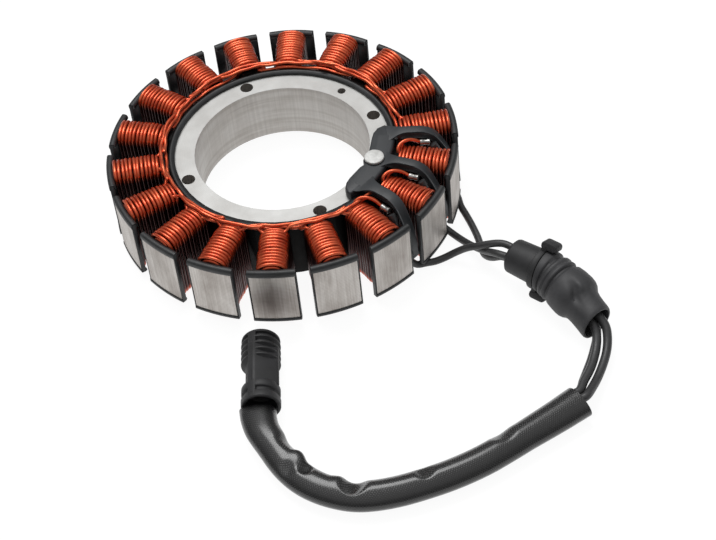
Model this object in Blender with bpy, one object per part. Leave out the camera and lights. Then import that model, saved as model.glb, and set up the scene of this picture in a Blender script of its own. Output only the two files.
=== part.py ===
"""Wound stator of a ring alternator, with its lead holder, case plug and sleeved harness.

The part stands on the lower crests of its coils at z = 0. The ring's axis is +Z through the
origin, and the lead holder lies along +X. Lengths are metres, written as millimetres times MM.
"""

import math

import bmesh
import bpy
from mathutils import Matrix, Vector

for old_object in list(bpy.data.objects):
    bpy.data.objects.remove(old_object, do_unlink=True)

MM = 0.001
GAP = 0.3 * MM

# Laminated core: a steel ring with eighteen teeth, each ending in a wide pole shoe.
TEETH = 18
FIRST_TOOTH = math.radians(10)
TOOTH_STEP = math.tau / TEETH
FACE_RADIUS = 72.5 * MM
BORE_RADIUS = 36.2 * MM
CORE_BOTTOM = 4.4 * MM
CORE_TOP = 29.45 * MM
CORE_RING_RADIUS = 46.2 * MM
BARE_BAND_RADIUS = 44.2 * MM
COVERED_STEP = 0.1 * MM
NECK_HALF = 2.5 * MM
SHOE_HALF = 9.0 * MM
SHOE_BACK = 70.9 * MM

# Screw holes through the ring, the small locating hole and the rivet's hole.
HOLE_CIRCLE_RADIUS = 41.2 * MM
SCREW_HOLE_RADIUS = 2.8 * MM
SCREW_HOLES = 4
FIRST_SCREW_HOLE = math.radians(45)
LOCATING_HOLE_RADIUS = 1.75 * MM
LOCATING_HOLE_AT = (40.6 * MM, math.radians(74.8))

# Moulded insulation over the core. It leaves the shoe faces and the inner ring bare.
COAT_BOTTOM = 3.5 * MM
COAT_TOP = 30.8 * MM
COAT_FLOOR = 0.6 * MM
COAT_INNER_RADIUS = 44.5 * MM
COAT_RING_RADIUS = 47.1 * MM
COAT_NECK_HALF = 3.4 * MM
COAT_SHOE_HALF = 9.65 * MM
COAT_SHOE_BACK = 70.2 * MM

# Coils: enamelled wire wound round each tooth, with all but parallel sides.
WIRE_DIAMETER = 1.6 * MM
TURNS = 12
COIL_INNER_END = 50.1 * MM
COIL_OUTER_END = 69.9 * MM
COIL_INNER_HALF = 6.1 * MM
COIL_OUTER_HALF = 6.45 * MM
COIL_TOP = 33.8 * MM
COIL_TOP_SHARE = 0.6
COIL_SHOULDER = 4.2 * MM
FIRST_TURN_TOP = 32.3 * MM
FIRST_TURN_TOP_SHARE = 0.75
TURN_DEPTH = 0.4 * MM

# Crossover wires: (radius, height over a tooth) of each run along the coils' inner ends.
CROSSOVERS = ((48.45 * MM, 31.95 * MM), (48.6 * MM, 33.75 * MM), (50.4 * MM, 34.1 * MM))
CROSSOVER_SAG = 0.7 * MM
CROSSOVER_START = math.radians(30)
CROSSOVER_END = math.radians(330)
CROSSOVER_STEPS = 30

# Lead holder: a pad on the ring with three arms that run out over the slots and down them.
SLOTS = (math.radians(20), 0.0, math.radians(-20))
HOLDER_BOTTOM = CORE_TOP + GAP
PAD_TOP = 33.8 * MM
RIVET_AT = (41.0 * MM, math.radians(1.2))
RIVET_HEAD_RADIUS = 4.05 * MM
RIVET_SHANK_RADIUS = 1.8 * MM
CRIMP_RADIUS = 1.3 * MM
CRIMP_SPAN = (57.2 * MM, 61.2 * MM)
CRIMP_SIDE = -2.4 * MM
CRIMP_HEIGHT = 31.8 * MM

# Leads and harness.
LEAD_DIAMETER = 3.0 * MM
HARNESS_WIRE_DIAMETER = 3.5 * MM
SLEEVE_DIAMETER = 11.0 * MM
CASE_PLUG_RADIUS = 7.1 * MM
EAR_REACH = 12.7 * MM
EAR_HALF_WIDTH = 2.5 * MM
EAR_TILT = math.radians(-24)
PLUG_CHAMFER = 1.2 * MM


def millimetres(*numbers):
    return Vector(numbers) * MM


def polar(radius, angle, height=0.0):
    return Vector((radius * math.cos(angle), radius * math.sin(angle), height))


def in_slot(slot_angle, radius, side, height):
    """A point given along a slot's middle line, across it (anticlockwise) and up."""
    return Matrix.Rotation(slot_angle, 4, "Z") @ Vector((radius, side, height))


def material(name, colour, roughness, metallic=0.0):
    made = bpy.data.materials.new(name)
    made.use_nodes = True
    shader = made.node_tree.nodes["Principled BSDF"]
    shader.inputs["Base Color"].default_value = (*colour, 1)
    shader.inputs["Roughness"].default_value = roughness
    shader.inputs["Metallic"].default_value = metallic
    return made


def add_object(name, mesh, finish):
    made = bpy.data.objects.new(name, mesh)
    bpy.context.scene.collection.objects.link(made)
    if finish and not mesh.materials:
        mesh.materials.append(finish)
    return made


def mesh_from(bm, name):
    bmesh.ops.recalc_face_normals(bm, faces=bm.faces[:])
    mesh = bpy.data.meshes.new(name)
    bm.to_mesh(mesh)
    bm.free()
    mesh.shade_smooth()
    mesh.set_sharp_from_angle(angle=math.radians(30))
    return mesh


def add_prism(bm, outline, low, high):
    """A solid of one outline, (x, y) points, between two heights."""
    face = bm.faces.new([bm.verts.new((x, y, low)) for x, y in outline])
    raised = bmesh.ops.extrude_face_region(bm, geom=[face])["geom"]
    lifted = [item for item in raised if isinstance(item, bmesh.types.BMVert)]
    bmesh.ops.translate(bm, verts=lifted, vec=(0, 0, high - low))


def add_cylinder(bm, radius, low, high, centre=(0.0, 0.0), sides=24):
    middle = Matrix.Translation((centre[0], centre[1], (low + high) / 2))
    bmesh.ops.create_cone(
        bm,
        cap_ends=True,
        segments=sides,
        radius1=radius,
        radius2=radius,
        depth=high - low,
        matrix=middle,
    )


def add_loft(bm, rings, closed=False):
    """Skins rings of points, each with as many points; open ends get a flat cap."""
    loops = [[bm.verts.new(point) for point in ring] for ring in rings]
    count = len(loops[0])
    pairs = list(zip(loops, loops[1:]))
    if closed:
        pairs.append((loops[-1], loops[0]))
    for first, second in pairs:
        for i in range(count):
            j = (i + 1) % count
            bm.faces.new((first[i], first[j], second[j], second[i]))
    if not closed:
        bm.faces.new(loops[0])
        bm.faces.new(reversed(loops[-1]))


def cut(target, name, cutter_mesh, operation="DIFFERENCE"):
    """Takes a hidden helper solid from the target, or joins it on."""
    helper = add_object(name, cutter_mesh, None)
    helper.hide_render = True
    helper.display_type = "WIRE"
    change = target.modifiers.new(name, "BOOLEAN")
    change.operation = operation
    change.object = helper
    change.solver = "EXACT"
    return helper


def smooth_route(points, spacing):
    """Points about one spacing apart on a smooth curve through a route's own points."""
    ends = [points[0] * 2 - points[1], *points, points[-1] * 2 - points[-2]]
    fine = []
    for before, start, end, after in zip(ends, ends[1:], ends[2:], ends[3:]):
        for step in range(12):
            t = step / 12
            fine.append(
                0.5
                * (
                    2 * start
                    + (end - before) * t
                    + (2 * before - 5 * start + 4 * end - after) * t**2
                    + (3 * start - before - 3 * end + after) * t**3
                )
            )
    fine.append(points[-1])
    length = sum((b - a).length for a, b in zip(fine, fine[1:]))
    count = max(3, round(length / spacing))
    picked = [fine[0]]
    walked = 0.0
    for a, b in zip(fine, fine[1:]):
        step = (b - a).length
        while len(picked) < count and walked + step >= length * len(picked) / count:
            picked.append(a.lerp(b, (length * len(picked) / count - walked) / step))
        walked += step
    picked.append(fine[-1])
    return picked


def add_wire(name, points, diameter, finish, sides_level=2):
    """A round wire along the points, with closed ends."""
    curve = bpy.data.curves.new(name, "CURVE")
    curve.dimensions = "3D"
    curve.bevel_depth = diameter / 2
    curve.bevel_resolution = sides_level
    curve.use_fill_caps = True
    spline = curve.splines.new("POLY")
    spline.points.add(len(points) - 1)
    for spot, point in zip(spline.points, points):
        spot.co = (*point, 1)
    return add_object(name, curve, finish)


def rings_along(centres, axes, radii, sides):
    """Round rings at the centres, square to the axes, for a loft."""
    rings = []
    for centre, axis, radius in zip(centres, axes, radii):
        across = axis.cross(Vector((0, 0, 1))).normalized()
        up = across.cross(axis).normalized()
        rings.append(
            [
                centre + radius * (across * math.cos(turn) + up * math.sin(turn))
                for turn in (math.tau * i / sides for i in range(sides))
            ]
        )
    return rings


ground_steel = material("ground_lamination_steel", (0.48, 0.46, 0.44), 0.42, 1.0)
black_coat = material("black_insulation_moulding", (0.028, 0.030, 0.032), 0.5)
enamel = material("copper_wire_enamel", (0.62, 0.13, 0.045), 0.28, 0.4)
holder_plastic = material("black_holder_plastic", (0.045, 0.047, 0.05), 0.5)
rivet_metal = material("white_rivet_aluminium", (0.75, 0.75, 0.74), 0.4, 0.9)
tinned_copper = material("tinned_crimp", (0.72, 0.72, 0.72), 0.25, 1.0)
lead_rubber = material("black_lead_rubber", (0.035, 0.035, 0.037), 0.55)
plug_plastic = material("black_plug_plastic", (0.04, 0.04, 0.042), 0.5)
boot_rubber = material("black_boot_rubber", (0.045, 0.046, 0.048), 0.55)
sleeve_yarn = material("black_braided_sleeve", (0.03, 0.03, 0.032), 0.6)
pin_metal = material("tinned_contact_pin", (0.7, 0.68, 0.62), 0.25, 1.0)


def toothed_outline(neck_half, shoe_back, shoe_half, face_radius, ring_radius):
    """The ring's outer edge with its teeth, anticlockwise, as (x, y) points."""
    root = math.sqrt(ring_radius**2 - neck_half**2)
    corner = math.sqrt(face_radius**2 - shoe_half**2)
    slot = (ring_radius * math.cos(TOOTH_STEP / 2), -ring_radius * math.sin(TOOTH_STEP / 2))
    half_one = [slot, (root, -neck_half), (shoe_back, -neck_half), (shoe_back, -shoe_half)]
    face = [(corner, -shoe_half), (face_radius, 0.0), (corner, shoe_half)]
    half_two = [(shoe_back, shoe_half), (shoe_back, neck_half), (root, neck_half)]
    tooth = half_one + face + half_two
    outline = []
    for k in range(TEETH):
        turn = Matrix.Rotation(FIRST_TOOTH + TOOTH_STEP * k, 2)
        outline += [tuple(turn @ Vector(point)) for point in tooth]
    return outline


def make_core():
    """The bare band round the bore is the seat, and stands a little proud of the rest."""
    bm = bmesh.new()
    outline = toothed_outline(NECK_HALF, SHOE_BACK, SHOE_HALF, FACE_RADIUS, CORE_RING_RADIUS)
    add_prism(bm, outline, CORE_BOTTOM + COVERED_STEP, CORE_TOP - COVERED_STEP)
    core = add_object("laminated_core", mesh_from(bm, "laminated_core"), ground_steel)
    bm = bmesh.new()
    add_cylinder(bm, BARE_BAND_RADIUS, CORE_BOTTOM, CORE_TOP, sides=72)
    cut(core, "bare_band", mesh_from(bm, "bare_band"), "UNION")
    low, high = CORE_BOTTOM - 2 * MM, CORE_TOP + 2 * MM
    bm = bmesh.new()
    add_cylinder(bm, BORE_RADIUS, low, high, sides=72)
    for k in range(SCREW_HOLES):
        spot = polar(HOLE_CIRCLE_RADIUS, FIRST_SCREW_HOLE + math.tau * k / SCREW_HOLES)
        add_cylinder(bm, SCREW_HOLE_RADIUS, low, high, spot, sides=20)
    add_cylinder(bm, LOCATING_HOLE_RADIUS, low, high, polar(*LOCATING_HOLE_AT), sides=16)
    add_cylinder(bm, RIVET_SHANK_RADIUS + GAP, low, high, polar(*RIVET_AT), sides=16)
    cut(core, "core_holes", mesh_from(bm, "core_holes"))


def make_insulation():
    bm = bmesh.new()
    skin = toothed_outline(
        COAT_NECK_HALF, COAT_SHOE_BACK, COAT_SHOE_HALF, FACE_RADIUS, COAT_RING_RADIUS
    )
    add_prism(bm, skin, COAT_BOTTOM, COAT_TOP)
    coat = add_object("slot_insulation", mesh_from(bm, "slot_insulation"), black_coat)
    bm = bmesh.new()
    room = toothed_outline(
        NECK_HALF + GAP,
        SHOE_BACK - GAP,
        SHOE_HALF + GAP,
        FACE_RADIUS + 2 * MM,
        CORE_RING_RADIUS + GAP,
    )
    add_prism(bm, room, COAT_BOTTOM + COAT_FLOOR, CORE_TOP + GAP)
    cut(coat, "core_room", mesh_from(bm, "core_room"))
    bm = bmesh.new()
    add_cylinder(bm, COAT_INNER_RADIUS, 0, COAT_TOP + 2 * MM, sides=54)
    cut(coat, "ring_window", mesh_from(bm, "ring_window"))


def coil_ring(along, depth):
    """The coil's outer edge at one place along the tooth, as an eight-sided ring."""
    share = (along - COIL_INNER_END) / (COIL_OUTER_END - COIL_INNER_END)
    half = COIL_INNER_HALF + (COIL_OUTER_HALF - COIL_INNER_HALF) * share - depth
    first_turn = along < COIL_INNER_END + 1.01 * (COIL_OUTER_END - COIL_INNER_END) / TURNS
    top = (FIRST_TURN_TOP if first_turn else COIL_TOP) - depth
    low = depth
    foot = COIL_TOP_SHARE * half
    shoulder = FIRST_TURN_TOP_SHARE * half if first_turn else foot
    side_top = COIL_TOP - COIL_SHOULDER
    rim = [(half, COIL_SHOULDER), (half, side_top), (shoulder, top), (-shoulder, top)]
    rim += [(-half, side_top), (-half, COIL_SHOULDER), (-foot, low), (foot, low)]
    return [Vector((along, side, height)) for side, height in rim]


def coil_mesh():
    """One coil on a tooth that points along +X: ridged outside, a plain opening inside."""
    rings = []
    pitch = (COIL_OUTER_END - COIL_INNER_END) / TURNS
    for i in range(2 * TURNS + 1):
        depth = TURN_DEPTH if i % 2 == 0 else 0.0
        rings.append(coil_ring(COIL_INNER_END + pitch * i / 2, depth))
    side = COAT_NECK_HALF + GAP
    low = COAT_BOTTOM - GAP
    high = COAT_TOP + GAP
    middle = (low + high) / 2
    opening = [(side, low), (side, high), (side / 2, high), (-side / 2, high)]
    opening += [(-side, high), (-side, low), (-side / 2, low), (side / 2, low)]
    for along in (COIL_OUTER_END, COIL_INNER_END):
        rings.append([Vector((along, across, height)) for across, height in opening])
    bm = bmesh.new()
    add_loft(bm, rings, closed=True)
    return mesh_from(bm, "coil")


def make_coils():
    mesh = coil_mesh()
    for k in range(TEETH):
        coil = add_object(f"coil_{k + 1:02d}", mesh, enamel)
        coil.rotation_euler.z = FIRST_TOOTH + TOOTH_STEP * k


def make_crossovers():
    """Each run goes over the coils at half of its steps and dips between them at the rest."""
    for number, (radius, height) in enumerate(CROSSOVERS, start=1):
        points = []
        for i in range(CROSSOVER_STEPS + 1):
            share = i / CROSSOVER_STEPS
            angle = CROSSOVER_START + (CROSSOVER_END - CROSSOVER_START) * share
            dip = CROSSOVER_SAG * (i % 2)
            points.append(polar(radius, angle, height - dip))
        add_wire(f"crossover_wire_{number}", points, WIRE_DIAMETER, enamel, 1)


# One arm's stations: (radius, height) of its top edge and of its underside, the middle of
# its width across the slot, and its width there as a share of the width over the slot.
ARM_STATIONS = (
    ((40.6, 33.2), (40.6, 31.3), 1.2, 1.9),
    ((43.2, 34.2), (43.2, 31.2), 1.4, 1.65),
    ((46.6, 34.9), (46.6, 31.2), 1.6, 1.25),
    ((50.0, 35.3), (50.0, 31.2), 1.7, 1.0),
    ((53.8, 35.3), (53.8, 31.2), 1.8, 1.0),
    ((57.2, 35.3), (56.8, 31.2), 1.8, 1.0),
    ((60.5, 34.7), (59.6, 30.8), 1.7, 0.97),
    ((63.5, 33.0), (61.8, 29.6), 1.4, 0.94),
    ((66.0, 29.8), (63.9, 27.3), 0.9, 0.92),
    ((68.3, 25.6), (66.2, 23.8), 0.5, 0.90),
    ((70.2, 21.0), (68.3, 20.0), 0.1, 0.88),
    ((71.4, 16.0), (69.4, 15.6), 0.0, 0.88),
    ((71.6, 9.6), (69.6, 9.6), 0.0, 0.88),
)
ARM_HALF_WIDTHS = (2.2 * MM, 2.2 * MM, 2.6 * MM)
ARM_UNDERSIDE_SHARE = 0.7
ARM_UNDERSIDE_HALF = 1.5 * MM
ARM_FOOT_TOP = 20.5
ARM_FOOT_HALF = 1.95 * MM


def arm_mesh(slot_angle, half_width):
    """An arm that is wide on top and narrower below, and square where it stands in the slot."""
    rings = []
    for (top_radius, top), (low_radius, low), side, share in ARM_STATIONS:
        wide = half_width * share
        narrow = min(wide * ARM_UNDERSIDE_SHARE, ARM_UNDERSIDE_HALF)
        if top < ARM_FOOT_TOP:
            wide = min(wide, ARM_FOOT_HALF)
            narrow = wide
        rings.append(
            [
                in_slot(slot_angle, radius * MM, side * MM + across, height * MM)
                for radius, across, height in (
                    (low_radius, -narrow, low),
                    (low_radius, narrow, low),
                    (top_radius, wide, top),
                    (top_radius, -wide, top),
                )
            ]
        )
    bm = bmesh.new()
    add_loft(bm, rings)
    return mesh_from(bm, "holder_arm")


# The pad's edge, as (radius, degrees): the inner edge swells round the rivet.
PAD_INNER_EDGE = (
    (37.4, 19), (37.4, 6.5), (36.8, 4), (36.6, 1.2), (36.8, -1.6), (38.3, -4.5), (37.4, -8),
    (37.4, -19), (38.3, -23.5), (40.2, -26.8), (42.6, -28), (44.2, -27.5),
)
PAD_OUTER_EDGE = ((43.4, 29.3), (40.2, 27.6), (38.0, 23.5))
PAD_OUTER_RADIUS = 44.2


def make_holder():
    outer = [(PAD_OUTER_RADIUS, degrees) for degrees in range(-22, 29, 5)]
    edge = PAD_INNER_EDGE + tuple(outer) + PAD_OUTER_EDGE
    outline = [polar(radius * MM, math.radians(turn)).xy for radius, turn in edge]
    bm = bmesh.new()
    add_prism(bm, outline, HOLDER_BOTTOM, PAD_TOP)
    holder = add_object("lead_holder", mesh_from(bm, "lead_holder"), holder_plastic)
    for number, (slot_angle, half_width) in enumerate(zip(SLOTS, ARM_HALF_WIDTHS), start=1):
        cut(holder, f"holder_arm_{number}", arm_mesh(slot_angle, half_width), "UNION")
    bm = bmesh.new()
    spot = polar(*RIVET_AT)
    add_cylinder(bm, RIVET_SHANK_RADIUS + GAP, 0, 40 * MM, spot, sides=16)
    cut(holder, "rivet_hole", mesh_from(bm, "rivet_hole"))
    bm = bmesh.new()
    add_cylinder(bm, RIVET_HEAD_RADIUS + GAP, PAD_TOP, 40 * MM, spot)
    cut(holder, "rivet_seat", mesh_from(bm, "rivet_seat"))


def make_rivet():
    """A low domed head over a plain shank that ends flush with the core's underside."""
    head_low = PAD_TOP + GAP
    profile = (
        (RIVET_SHANK_RADIUS, CORE_BOTTOM),
        (RIVET_SHANK_RADIUS, head_low),
        (RIVET_HEAD_RADIUS, head_low),
        (RIVET_HEAD_RADIUS, head_low + 0.5 * MM),
        (RIVET_HEAD_RADIUS - 0.9 * MM, head_low + 1.1 * MM),
        (1.5 * MM, head_low + 1.35 * MM),
    )
    rings = [
        [polar(radius, math.tau * i / 24, height) for i in range(24)]
        for radius, height in profile
    ]
    bm = bmesh.new()
    add_loft(bm, rings)
    rivet = add_object("holder_rivet", mesh_from(bm, "holder_rivet"), rivet_metal)
    rivet.location = polar(*RIVET_AT)


# A coil's end wire on its way to the crimp, as (along, across, up) in its slot.
TAIL_ROUTE = (
    (48.7, -4.9, 32.0),
    (50.2, -4.5, 33.8),
    (52.3, -3.6, 34.1),
    (54.3, -2.8, 33.0),
    (56.3, -2.4, 31.95),
)

# A lead's way from the crimp, under the arm and down the slot, as (along, across, up).
SLOT_ROUTE = (
    (62.5, -2.7, 30.8),
    (63.6, -2.9, 28.8),
    (64.2, -2.7, 26.0),
    (64.7, -1.8, 22.4),
    (65.3, -0.8, 18.0),
    (66.0, 0.0, 13.2),
    (66.8, 0.0, 8.9),
)

# Each lead from the foot of its slot to the case plug, in world millimetres.
LEAD_ROUTES = (
    (
        (64.9, 23.5, 4.9), (66.3, 23.2, 1.75), (69.0, 19.6, 1.65), (71.7, 15.4, 1.65),
        (75.5, 11.2, 1.7), (79.7, 6.4, 1.8), (83.9, 1.1, 1.85), (87.1, -3.6, 1.9),
        (90.4, -8.4, 2.6), (94.6, -11.6, 5.4), (99.4, -13.02, 8.9), (104.02, -14.27, 10.0),
    ),
    (
        (69.0, 0.0, 4.7), (73.0, -0.5, 2.2), (77.4, -2.4, 1.9), (82.6, -5.4, 3.2),
        (87.8, -8.9, 5.9), (92.7, -12.3, 9.2), (98.5, -16.15, 13.7), (103.1, -17.4, 14.7),
    ),
    (
        (63.5, -22.7, 5.2), (65.9, -21.3, 1.85), (69.2, -19.2, 1.65), (72.4, -17.2, 1.65),
        (75.6, -14.8, 2.4), (79.6, -12.7, 4.7), (82.9, -12.2, 7.2), (85.8, -12.4, 9.4),
        (89.3, -12.6, 11.4), (93.1, -12.2, 13.2), (96.8, -11.9, 14.7), (100.3, -12.0, 15.6),
        (104.38, -13.06, 15.8),
    ),
)


def make_lead_ends_and_leads():
    for number, slot_angle in enumerate(SLOTS, start=1):
        bm = bmesh.new()
        span = CRIMP_SPAN[1] - CRIMP_SPAN[0]
        add_cylinder(bm, CRIMP_RADIUS, -span / 2, span / 2, sides=12)
        crimp = add_object(f"crimp_{number}", mesh_from(bm, "crimp"), tinned_copper)
        middle = sum(CRIMP_SPAN) / 2
        crimp.location = in_slot(slot_angle, middle, CRIMP_SIDE, CRIMP_HEIGHT)
        crimp.rotation_euler = (0, math.radians(90), slot_angle)
        tail = [in_slot(slot_angle, *millimetres(*point)) for point in TAIL_ROUTE]
        tail_points = smooth_route(tail, 1.6 * WIRE_DIAMETER)
        add_wire(f"coil_tail_{number}", tail_points, WIRE_DIAMETER, enamel, 1)
        route = [in_slot(slot_angle, *millimetres(*point)) for point in SLOT_ROUTE]
        route += [millimetres(*point) for point in LEAD_ROUTES[number - 1]]
        lead_points = smooth_route(route, 1.4 * LEAD_DIAMETER)
        add_wire(f"lead_wire_{number}", lead_points, LEAD_DIAMETER, lead_rubber)


# The middle line of the case plug and of the boot on it, in world millimetres.
PLUG_START = millimetres(104.4, -15.0, 13.8)
PLUG_SEAM = millimetres(116.27, -18.22, 13.8)
PLUG_AXIS = (PLUG_SEAM - PLUG_START).normalized()
FLANGE_THICKNESS = 2.6 * MM
FLANGE_RADIUS = 8.9 * MM
SEAM_RADIUS = 7.6 * MM
EAR_LENGTH = 7.2 * MM
EAR_ROOT = 6.0 * MM
EAR_FOOT = 10.35 * MM
EAR_INSET = 0.2 * MM
BOOT_ROUTE = (
    (119.9, -19.2, 13.78), (122.8, -20.4, 13.5), (127.2, -22.7, 12.8), (132.0, -25.4, 12.0),
    (136.4, -28.2, 11.2), (141.0, -31.7, 10.1), (145.6, -35.2, 9.0),
)
# From this share of its length the boot turns, over the next share, to its mouth's direction.
MOUTH_TURN_FROM = 0.6
MOUTH_TURN_SHARE = 0.3
BOOT_MOUTH_AXIS = Vector((0.88, -0.46, -0.08)).normalized()

# (share of the boot's length, radius): three ribs, a bulge and a plain tapered mouth.
BOOT_PROFILE = (
    (0.0, 8.8), (0.09, 8.8), (0.11, 8.3), (0.15, 8.3), (0.17, 9.3), (0.245, 9.3),
    (0.265, 8.7), (0.305, 8.7), (0.325, 9.5), (0.42, 9.8), (0.52, 9.9), (0.60, 9.4),
    (0.67, 8.5), (0.75, 7.8), (0.86, 7.4), (1.0, 7.1),
)
BOOT_MOUTH_RADIUS = 6.0
BOOT_MOUTH_DEPTH = 0.2


def turned_to(axis, roll=0.0):
    """Turns +X along an axis, keeping +Y level, after a roll about +X."""
    across = Vector((0, 0, 1)).cross(axis).normalized()
    up = axis.cross(across)
    frame = Matrix((axis, across, up)).transposed().to_4x4()
    return frame @ Matrix.Rotation(roll, 4, "X")


def make_case_plug():
    """A round body with a chamfered lead end, and a flange with two square ears."""
    length = (PLUG_SEAM - PLUG_START).length + FLANGE_THICKNESS / 2
    profile = ((0, CASE_PLUG_RADIUS - PLUG_CHAMFER), (PLUG_CHAMFER, CASE_PLUG_RADIUS))
    rings = []
    for along, radius in (*profile, (length, SEAM_RADIUS)):
        rings.append(
            [
                Vector((along, radius * math.cos(turn), radius * math.sin(turn)))
                for turn in (math.tau * i / 32 for i in range(32))
            ]
        )
    bm = bmesh.new()
    add_loft(bm, rings)
    plug = add_object("case_plug", mesh_from(bm, "case_plug"), plug_plastic)
    plug.matrix_world = Matrix.Translation(PLUG_START) @ turned_to(PLUG_AXIS)
    bm = bmesh.new()
    add_cylinder(bm, FLANGE_RADIUS, 0, FLANGE_THICKNESS, sides=32)
    flange = cut(plug, "plug_flange", mesh_from(bm, "plug_flange"), "UNION")
    seam = Matrix.Translation(PLUG_SEAM)
    flange.matrix_world = seam @ turned_to(PLUG_AXIS) @ Matrix.Rotation(math.radians(90), 4, "Y")
    # An ear's outline is (radius, along): it runs on past the flange, clear above the boot.
    ear = [(EAR_ROOT, EAR_INSET), (EAR_REACH - PLUG_CHAMFER, EAR_INSET)]
    ear += [(EAR_REACH, EAR_INSET + PLUG_CHAMFER), (EAR_REACH, EAR_LENGTH - PLUG_CHAMFER)]
    ear += [(EAR_REACH - PLUG_CHAMFER, EAR_LENGTH), (EAR_FOOT, EAR_LENGTH)]
    ear += [(EAR_FOOT, FLANGE_THICKNESS - EAR_INSET), (EAR_ROOT, FLANGE_THICKNESS - EAR_INSET)]
    lying = Matrix(((0, 1, 0, 0), (0, 0, 1, 0), (1, 0, 0, 0), (0, 0, 0, 1)))
    for number in (1, 2):
        bm = bmesh.new()
        add_prism(bm, ear, -EAR_HALF_WIDTH, EAR_HALF_WIDTH)
        block = cut(plug, f"plug_ear_{number}", mesh_from(bm, "plug_ear"), "UNION")
        block.matrix_world = seam @ turned_to(PLUG_AXIS, EAR_TILT + math.pi * number) @ lying


def make_boot():
    start = PLUG_SEAM + PLUG_AXIS * (FLANGE_THICKNESS + GAP)
    route = [start] + [millimetres(*point) for point in BOOT_ROUTE]
    line = smooth_route(route, 0.5 * MM)
    count = len(line) - 1

    def at(share):
        i = min(count, max(0, round(share * count)))
        axis = line[min(count, i + 1)] - line[max(0, i - 1)]
        return line[i], axis.normalized()

    stations = [*BOOT_PROFILE, (1.0, BOOT_MOUTH_RADIUS), (1.0 - BOOT_MOUTH_DEPTH, BOOT_MOUTH_RADIUS)]
    centres, axes, radii = [], [], []
    for share, radius in stations:
        centre, axis = at(share)
        centres.append(centre)
        mouth_share = min(1.0, max(0.0, (share - MOUTH_TURN_FROM) / MOUTH_TURN_SHARE))
        turned = axis.lerp(BOOT_MOUTH_AXIS, mouth_share).normalized()
        axes.append(PLUG_AXIS if share == 0 else turned)
        radii.append(radius * MM)
    bm = bmesh.new()
    add_loft(bm, rings_along(centres, axes, radii, 24))
    add_object("rubber_boot", mesh_from(bm, "rubber_boot"), boot_rubber)


# The harness wires from the boot's mouth to the sleeve, in world millimetres.
HARNESS_ROUTES = (
    (
        (142.77, -31.64, 11.25), (146.2, -33.5, 10.9), (149.4, -36.0, 9.1),
        (151.3, -40.0, 7.0), (152.4, -44.9, 5.6), (152.8, -50.6, 5.0), (152.8, -57.3, 5.0),
        (152.6, -63.4, 6.2), (152.14, -69.28, 7.8), (150.8, -71.39, 7.8),
    ),
    (
        (140.92, -34.95, 9.95), (144.36, -36.76, 9.64), (146.9, -40.0, 8.0),
        (148.2, -44.4, 6.5), (148.9, -50.1, 5.8), (149.1, -56.0, 6.0), (148.7, -62.0, 6.5),
        (148.76, -67.14, 7.0), (147.42, -69.25, 7.0),
    ),
    (
        (141.75, -32.79, 6.3), (145.1, -34.6, 5.9), (146.5, -38.4, 3.8), (146.9, -42.4, 2.4),
        (147.3, -48.2, 1.9), (147.4, -54.9, 1.85), (147.6, -60.7, 2.0), (149.34, -67.5, 3.3),
        (148.0, -69.63, 3.3),
    ),
)

# The sleeve's middle line, from the boot's wires round to the end plug.
SLEEVE_ROUTE = (
    (149.9, -71.5, 5.6), (147.3, -75.6, 5.6), (144.0, -80.8, 5.6), (136.8, -91.5, 5.6),
    (130.2, -101.2, 5.6), (125.2, -108.1, 5.6), (119.3, -114.9, 5.6), (112.9, -121.2, 5.6),
    (104.6, -128.2, 5.6), (98.5, -132.6, 5.6), (92.4, -136.1, 5.6), (86.6, -138.4, 5.6),
    (80.6, -139.4, 5.6), (73.8, -139.4, 5.6), (67.0, -138.2, 5.6), (60.8, -135.8, 5.7),
    (54.6, -132.2, 6.2), (48.4, -127.4, 7.0), (43.0, -122.4, 7.6), (39.8, -117.7, 7.8),
    (38.05, -113.75, 7.8),
)


def make_harness():
    for number, points in enumerate(HARNESS_ROUTES, start=1):
        route = smooth_route([millimetres(*point) for point in points], 2.4 * MM)
        name = f"harness_wire_{number}"
        add_wire(name, route, HARNESS_WIRE_DIAMETER, lead_rubber)
    route = smooth_route([millimetres(*point) for point in SLEEVE_ROUTE], 5.5 * MM)
    add_wire("braided_sleeve", route, SLEEVE_DIAMETER, sleeve_yarn, 4)


# The end plug lies level, with its cable end at PLUG_TAIL and its mouth away from it.
PLUG_TAIL = millimetres(37.9, -113.4, 7.8)
PLUG_HEADING = math.radians(113.9)
END_PLUG_LENGTH = 33.4
END_PLUG_SIDES = 20
MOUTH_RADIUS = 6.3
MOUTH_DEPTH = 6.5
PIN_RADIUS = 0.7
PIN_CIRCLE = 4.6
PINS = 3
KEY_SPAN = (5.0 * MM, 19.5 * MM)
KEY_HALF_WIDTH = 3.6 * MM
KEY_FOOT = 2.0 * MM
KEY_REACH = 7.2 * MM
KEY_ROLL = math.radians(-38)


def end_plug_profile():
    """(along, radius) in millimetres: two collars at the cable end, four ribs at the mouth."""
    profile = [(0, 6.6), (0.5, 7.6), (3.2, 7.6), (3.7, 6.5), (5.2, 6.5), (5.7, 7.5), (8.6, 7.5)]
    profile += [(9.1, 6.4), (17.6, 6.4)]
    for rib in range(4):
        start = 18.2 + 3.6 * rib
        profile += [(start, 7.8), (start + 2.6, 7.8), (start + 3.0, 7.1), (start + 3.4, 7.1)]
    profile[-1] = (END_PLUG_LENGTH, 7.0)
    profile += [(END_PLUG_LENGTH, MOUTH_RADIUS), (END_PLUG_LENGTH - MOUTH_DEPTH, MOUTH_RADIUS)]
    return profile


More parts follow.
